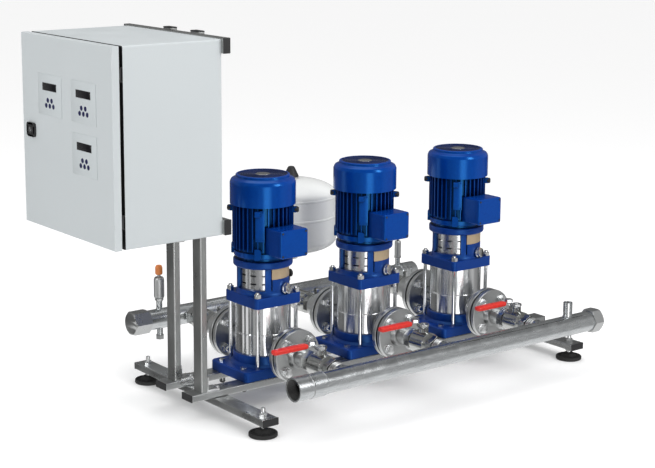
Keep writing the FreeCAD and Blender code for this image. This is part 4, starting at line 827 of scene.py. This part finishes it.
valve_y = row_y - 272 * MM
lever_low = port_z + 45 * MM
lever_top = port_z + 63 * MM
lever_thick, ball_radius = 0.003, 25.5 * MM
for n, axis in pumps:
    bm = bmesh.new()
    x = axis.x
    bends = [(x + 0.012, lever_low), (x + 0.008, lever_low), (x - 0.010, lever_low),
             (x - 0.014, lever_low), (x - 0.017, lever_low + 0.003), (x - 0.026, lever_top - 0.003),
             (x - 0.030, lever_top), (x - 0.147, lever_top)]
    strip(bm, bends, [0.006, 0.010, 0.012, 0.010, 0.009, 0.009, 0.008, 0.007], valve_y, lever_thick)
    hex_form(bm, 0.026, 0.008, (x, valve_y, lever_low + lever_thick), bore=0.006)
    hex_form(bm, 0.021, 0.009, (x - 0.034, valve_y, lever_top + lever_thick))
    thread(bm, 0.006, 0.013, (x, valve_y, lever_low), UP, 0.00125)
    pin(bm, 0.006, 0.04, (x, valve_y, lever_low - 0.038), steps=32)
    piece("lever_" + n, bm, zinc, "suction_valve_" + n, "zinc_steel")
    bm = bmesh.new()
    sleeve(bm, x - 0.165, 0.112, valve_y, lever_top + lever_thick / 2, 0.0115, 0.0068)
    piece("lever_sleeve_" + n, bm, red_sleeve, "suction_valve_" + n, "lever_red",
          "suction_lever_" + n)
    bm = bmesh.new()
    bmesh.ops.create_uvsphere(bm, u_segments=40, v_segments=24, radius=ball_radius,
                              matrix=Matrix.Translation((x, valve_y, port_z)))
    piece("suction_ball_" + n, bm, polished, "suction_valve_" + n, "stainless")
print("levers", len(pump_axes))

# %% [markdown]
# The control panels on the door are thin foils with a dark display and five keys, two over three.
# The node holds foil and panes in one, so each becomes a piece with its own finish. The field
# above each display stays bare.

# %% Door panels
foil_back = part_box("keypads")[0].x + 0.002
foil_half, pane_half = (0.062, 0.053), (0.0365, 0.010)
panel_places = [(0.205, 0.895), (0.379, 0.895), (0.205, 0.762)]
key_rows = ((0.035, (-0.010, 0.010)), (0.049, (-0.019, 0.0, 0.019)))


def sheet(bm, front, back, y, z, half, radius):
    slab(bm, (front, y - half[0], z - half[1]), (back, y + half[0], z + half[1]), radius, 2)


foils, panes, keys = bmesh.new(), bmesh.new(), bmesh.new()
for y, z in panel_places:
    sheet(foils, foil_back - 0.0012, foil_back, y, z, foil_half, 0.0005)
    pane_z = z + 0.021
    sheet(panes, foil_back - 0.002, foil_back - 0.0010, y, pane_z, pane_half, 0.0004)
    for row_drop, offsets in key_rows:
        for offset in offsets:
            lathe(keys, [(0.0066, 0), (0.0064, 0.0005), (0.0045, 0.0008), (0, 0.0009)],
                  (foil_back - 0.0011, y + offset, pane_z - row_drop), (-1, 0, 0), 28, soft=0.0003)
piece("panel_foils", foils, foil, "door", "keypad_foil", "keypads")
piece("panel_displays", panes, display, "door", "dark_plastic")
piece("panel_keys", keys, key_blue, "door", "keypad_foil")
print("panels", len(panel_places))

# %% [markdown]
# The gap round the door is dark: a black rubber lip closes it from the inside and also stands for
# the shade in the gap, and the faces of the door and shell that lie in the gap, with the hinge
# knuckles in them, take the black finish as painted shade.

# %% Door gap
seal_low, seal_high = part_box("door_seal")
shell_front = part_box("cabinet_shell")[0].x
gap_front, gap_back = shell_front - 0.0003, shell_front + 0.0195
lip_wide = 0.0045
x0, x1 = seal_low.x + 0.0020, shell_front - 0.0008
y0, y1 = seal_low.y - lip_wide, seal_high.y + lip_wide
z0, z1 = seal_low.z - lip_wide, seal_high.z + lip_wide
lip = bmesh.new()
for low, high in (((x0, y0, z0), (x1, y0 + lip_wide, z1)), ((x0, y1 - lip_wide, z0), (x1, y1, z1)),
                  ((x0, y0, z0), (x1, y1, z0 + lip_wide)), ((x0, y0, z1 - lip_wide), (x1, y1, z1))):
    slab(lip, low, high, 0.0008, 1)
piece("door_lip_and_gap_shade", lip, black_rubber, "door", "black_rubber")
# Painted shade: faces of the door and shell inside the gap take the black finish.
for name in ("cabinet_door", "cabinet_shell"):
    mesh = nodes[name].data
    mesh.materials.append(black_moulding)
    place = nodes[name].matrix_world
    for polygon in mesh.polygons:
        across = [(place @ mesh.vertices[v].co).x for v in polygon.vertices]
        if shell_front - 0.0002 < max(across) < gap_back and min(across) > gap_front:
            polygon.material_index = 1
print("door gap", round(x0, 4), round(x1, 4))

# %% [markdown]
# Each terminal box has a lid held by four sunk screws, and each suction valve ends in a ringed
# union towards the pipe, of which three bright turns show in the photograph.

# %% Lid screws and union rings
box_low, box_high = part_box("terminal_boxes")
bm = bmesh.new()
for axis, x, z in product(pump_axes, (-0.036, 0.042), (box_low.z + 0.007, box_high.z - 0.007)):
    lathe(bm, [(0, 0), (0.0030, 0), (0.0030, 0.0010), (0.0022, 0.0016), (0, 0.0016)],
          (axis.x + x, box_low.y, z), (0, -1, 0), steps=20, soft=0.0004)
piece("lid_screws", bm, black_moulding, "set", "zinc_steel")
bm = bmesh.new()
union_start, union_rings, union_pitch = row_y - 0.332, 3, 7.8 * MM
for axis, k in product(pump_axes, range(union_rings)):
    lathe(bm, [(0.0238, 0), (0.0266, 0.0008), (0.0266, 0.0038), (0.0238, 0.0050)],
          (axis.x, union_start - union_pitch * k, port_z), (0, -1, 0), steps=72, soft=0.0012)
piece("union_rings", bm, cast_steel, "set", "nickel_brass")
print("lid screws", 4 * len(pump_axes), "rings", union_rings * len(pump_axes))

# %% [markdown]
# The diaphragm tank is two drawn shells lapped over each other. Turned with many steps, it keeps a
# clean highlight, and its lapped seams are low beads as on the real one.

# %% Tank with its cap and valve
tank_axis = middle("tank").xy
tank_low, tank_high = 288 * MM, 524 * MM
tank_radius, dome_high = 142 * MM, 48 * MM
neck_x = tank_axis.x - 24 * MM
knob_z = 219 * MM


def dome(count, start, side):
    """Points of a drawn end, an upright quarter of an ellipse, from its rim to its middle."""
    made = []
    for k in range(count + 1):
        a = math.pi / 2 * k / count
        made.append((tank_radius * math.cos(a), start + side * dome_high * math.sin(a)))
    return made


def lap(level):
    return [(tank_radius, level - 0.004), (tank_radius + 0.0012, level - 0.0025),
            (tank_radius + 0.0012, level + 0.0022), (tank_radius, level + 0.003)]


bm = bmesh.new()
outline = list(reversed(dome(22, tank_low + dome_high, -1)))
outline += lap(409 * MM) + lap(471 * MM)
outline += dome(22, tank_high - dome_high, 1)
lathe(bm, [(r if r > 1e-5 else 0.0, z) for r, z in outline], at(tank_axis), steps=160)
lathe(bm, [(0, 0), (0.018, 0), (0.018, 0.006), (0.012, 0.008), (0, 0.008)],
      at(tank_axis, tank_high - 0.003), steps=48, soft=0.001)
pin(bm, 0.016, 0.012, at(tank_axis, tank_low - 0.008), steps=48)
piece("tank_shell", bm, tank_enamel, "set", "white_paint", "tank")

bm = bmesh.new()
lathe(bm, [(0, 0), (0.024, 0), (0.0235, 0.003), (0.0115, 0.029), (0.0085, 0.033), (0, 0.033)],
      at(tank_axis, tank_high + 0.004), steps=48, soft=0.002)
lathe(bm, [(0, 0), (0.013, 0), (0.013, 0.008), (0.011, 0.010), (0, 0.010)],
      (neck_x + 0.014, tank_axis.y, knob_z), (1, 0, 0), steps=32, soft=0.001)
piece("tank_cap_and_knob", bm, black_moulding, "set", "black_plastic")

bm = bmesh.new()
valve_low, elbow_low, elbow_high = 196 * MM, tank_low - 24 * MM, tank_low - 8 * MM
neck = Vector((neck_x, tank_axis.y))
hex_form(bm, 0.030, 0.012, at(neck, valve_low), both=True)
lathe(bm, [(0, 0), (0.008, 0), (0.008, 0.014), (0.012, 0.016), (0.012, 0.031), (0.008, 0.033),
           (0.008, elbow_low - valve_low), (0, elbow_low - valve_low)],
      at(neck, valve_low), steps=40, soft=0.001)
hex_form(bm, 0.024, 0.010, at(neck, elbow_low - 0.010), both=True)
slab(bm, (neck.x - 0.015, neck.y - 0.017, elbow_low),
     (tank_axis.x + 0.018, neck.y + 0.017, elbow_high), 0.0075)
pin(bm, 0.006, 0.014, at(neck, knob_z), (1, 0, 0))
piece("tank_valve_body", bm, cast_steel, "set", "nickel_brass", "tank_valve")
print("tank", tuple(round(v, 3) for v in tank_axis))

# %% [markdown]
# Two sensors stand on the delivery pipe: a wide one with an orange plug at the cabinet end, and a
# slim one at the far end. They are turned parts with a spanner hexagon, so they are lathed again.

# %% Sensors on the delivery pipe
sensor, switch = Vector((0.106, delivery_y)), Vector((1.039, delivery_y))
bm = bmesh.new()
hex_form(bm, 0.022, 0.008, at(sensor, 0.206), both=True)
lathe(bm, [(0, 0), (0.0105, 0), (0.0155, 0.005), (0.0155, 0.060), (0.0125, 0.066), (0.005, 0.066),
           (0.005, 0.076), (0, 0.076)], at(sensor, 0.212), steps=56, soft=0.0015)
hex_form(bm, 0.020, 0.007, at(switch, 0.204), both=True)
lathe(bm, [(0, 0), (0.0095, 0), (0.0105, 0.002), (0.0105, 0.050), (0.0085, 0.054), (0, 0.054)],
      at(switch, 0.208), steps=48, soft=0.0015)
piece("sensor_bodies", bm, cast_steel, "set", "stainless", "transmitters")
bm = bmesh.new()
lathe(bm, [(0, 0), (0.010, 0), (0.011, 0.004), (0.011, 0.022), (0.008, 0.028), (0, 0.028)],
      at(sensor, 0.286), steps=40, soft=0.0015)
piece("sensor_plug", bm, connector_orange, "set", "dark_plastic")
bm = bmesh.new()
lathe(bm, [(0, 0), (0.0035, 0), (0.0035, 0.014), (0, 0.014)], at(switch, 0.262), steps=24,
      soft=0.0006)
piece("switch_stub", bm, black_moulding, "set", "black_plastic")
print("sensors at", sensor.x, switch.x)

# %% [markdown]
# Branches and sleeves are welded to the two main pipes. A weld bead is a ripple of small puddles
# along the line where two tubes meet, so it is a thin bar whose radius swells and shrinks.

# %% Weld beads
pipe_radius, branch_radius, sleeve_radius = 30.15 * MM, 24 * MM, 30.8 * MM


def bead(bm, point, radius, count=150):
    """Rippled bead along the closed line of points that point gives for an angle's sine and cosine."""
    turns = [2 * math.pi * k / count for k in range(count)]
    swell = [radius * (1 + 0.22 * abs(math.sin(math.pi * k / 2.5))) for k in range(count)]
    bar(bm, [point(math.sin(a), math.cos(a)) for a in turns], swell, sides=8, closed=True)


def saddle(bm, x, y, side):
    """Bead round a branch that leaves the pipe level, towards side."""
    bead(bm, lambda s, c: (x + branch_radius * c,
                           y + side * math.sqrt(pipe_radius ** 2 - (branch_radius * s) ** 2),
                           port_z + branch_radius * s), 0.0022)


def hoop(bm, x, y):
    """Bead round the main pipe."""
    bead(bm, lambda s, c: (x, y + sleeve_radius * c, port_z + sleeve_radius * s), 0.0018)


def collar(bm, x, y, riser):
    """Bead round an upright riser on top of the pipe."""
    bead(bm, lambda s, c: (x + riser * c, y + riser * s,
                           port_z + math.sqrt(pipe_radius ** 2 - (riser * s) ** 2)), 0.0016, 80)


bm = bmesh.new()
for axis in pump_axes:
    saddle(bm, axis.x, suction_y, 1)
    saddle(bm, axis.x, delivery_y, -1)
hoop(bm, 0.1102, suction_y)
hoop(bm, 1.0418, delivery_y)
for x, y, riser in ((1.029, suction_y, 0.0135), (sensor.x, delivery_y, 0.009),
                    (switch.x, delivery_y, 0.008), (neck.x, delivery_y, 0.015)):
    collar(bm, x, y, riser)
piece("weld_beads", bm, pickled, "set", "stainless")
print("welds", 2 * len(pump_axes) + 6)

# %% [markdown]
# The open end of each main pipe is a threaded socket with a turned band round it; its threads and a
# liner deeper in the bore are dark, painted shade inside the pipe. The levelling feet are ribbed
# rubber with a raised rim, and a dark cap nut closes each hold-down bolt below its rail.

# %% Pipe ends, feet and cap nuts
bm, bands = bmesh.new(), bmesh.new()
socket_bore, pipe_bore, socket_turns = 28.2 * MM, 26 * MM, 12
for mouth, pipe_y, inward, band in ((0.018, suction_y, 1, 0.064), (1.106, delivery_y, -1, 1.058)):
    # Painted shade: the threads and the liner inside the bore take a dark finish.
    wall = [(socket_bore, 0.001)]
    for k in range(socket_turns):
        wall += [(socket_bore - 0.0012, (2.2 + 2.3 * k) * MM), (socket_bore, (3.3 + 2.3 * k) * MM)]
    wall += [(pipe_bore - 0.0015, 0.0296), (pipe_bore - 0.0015, 0.070), (pipe_bore - 0.0005, 0.070),
             (pipe_bore - 0.0005, 0.0305), (socket_bore + 0.0001, 0.0305)]
    lathe(bm, wall, (mouth, pipe_y, port_z), (inward, 0, 0), steps=72, ring=True)
    lathe(bands, [(0.0322, 0), (0.0333, 0.0004), (0.0333, 0.0022), (0.0322, 0.0030)],
          (band, pipe_y, port_z), (inward, 0, 0), soft=0.0006)
piece("socket_threads", bm, thread_dark, "set", "stainless")
piece("socket_bands", bands, cast_steel, "set", "stainless")

bm = bmesh.new()
low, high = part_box("foot_pads")
pad_radius, pad_ribs = 39 * MM, 16
foot_places = [Vector((x, y)) for x in (low.x + pad_radius, high.x - pad_radius)
               for y in (low.y + pad_radius, high.y - pad_radius)]
pad_line = [(0, 0), (0.037, 0), (0.039, 0.002), (0.039, 0.0085), (0.0375, 0.0105),
            (0.0335, 0.0105), (0.0325, 0.0085), (0.022, 0.0105), (0.014, 0.020), (0, 0.020)]
for foot in foot_places:
    lathe(bm, pad_line, at(foot), steps=72, soft=0.0008)
    for k in range(pad_ribs):
        out = spoke(2 * math.pi * k / pad_ribs)
        bar(bm, [at(foot, 0.0108) + out * 0.020, at(foot, 0.0092) + out * 0.0335], 0.0011, sides=6)
piece("ribbed_pads", bm, black_rubber, "set", "black_rubber", "foot_pads")

bm = bmesh.new()
hold_down, rail_under = Vector((104 * MM, 53 * MM)), 55.3 * MM
for axis, sx, sy in product(pump_axes, (-1, 1), (-1, 1)):
    lathe(bm, [(0, 0), (0.0085, 0), (0.0085, 0.012), (0.005, 0.016), (0, 0.016)],
          (axis.x + sx * hold_down.x, row_y + sy * hold_down.y, rail_under), (0, 0, -1),
          steps=32, soft=0.001)
piece("cap_nuts", bm, black_moulding, "set", "black_plastic")
print("feet", len(foot_places), "cap nuts", 4 * len(pump_axes))
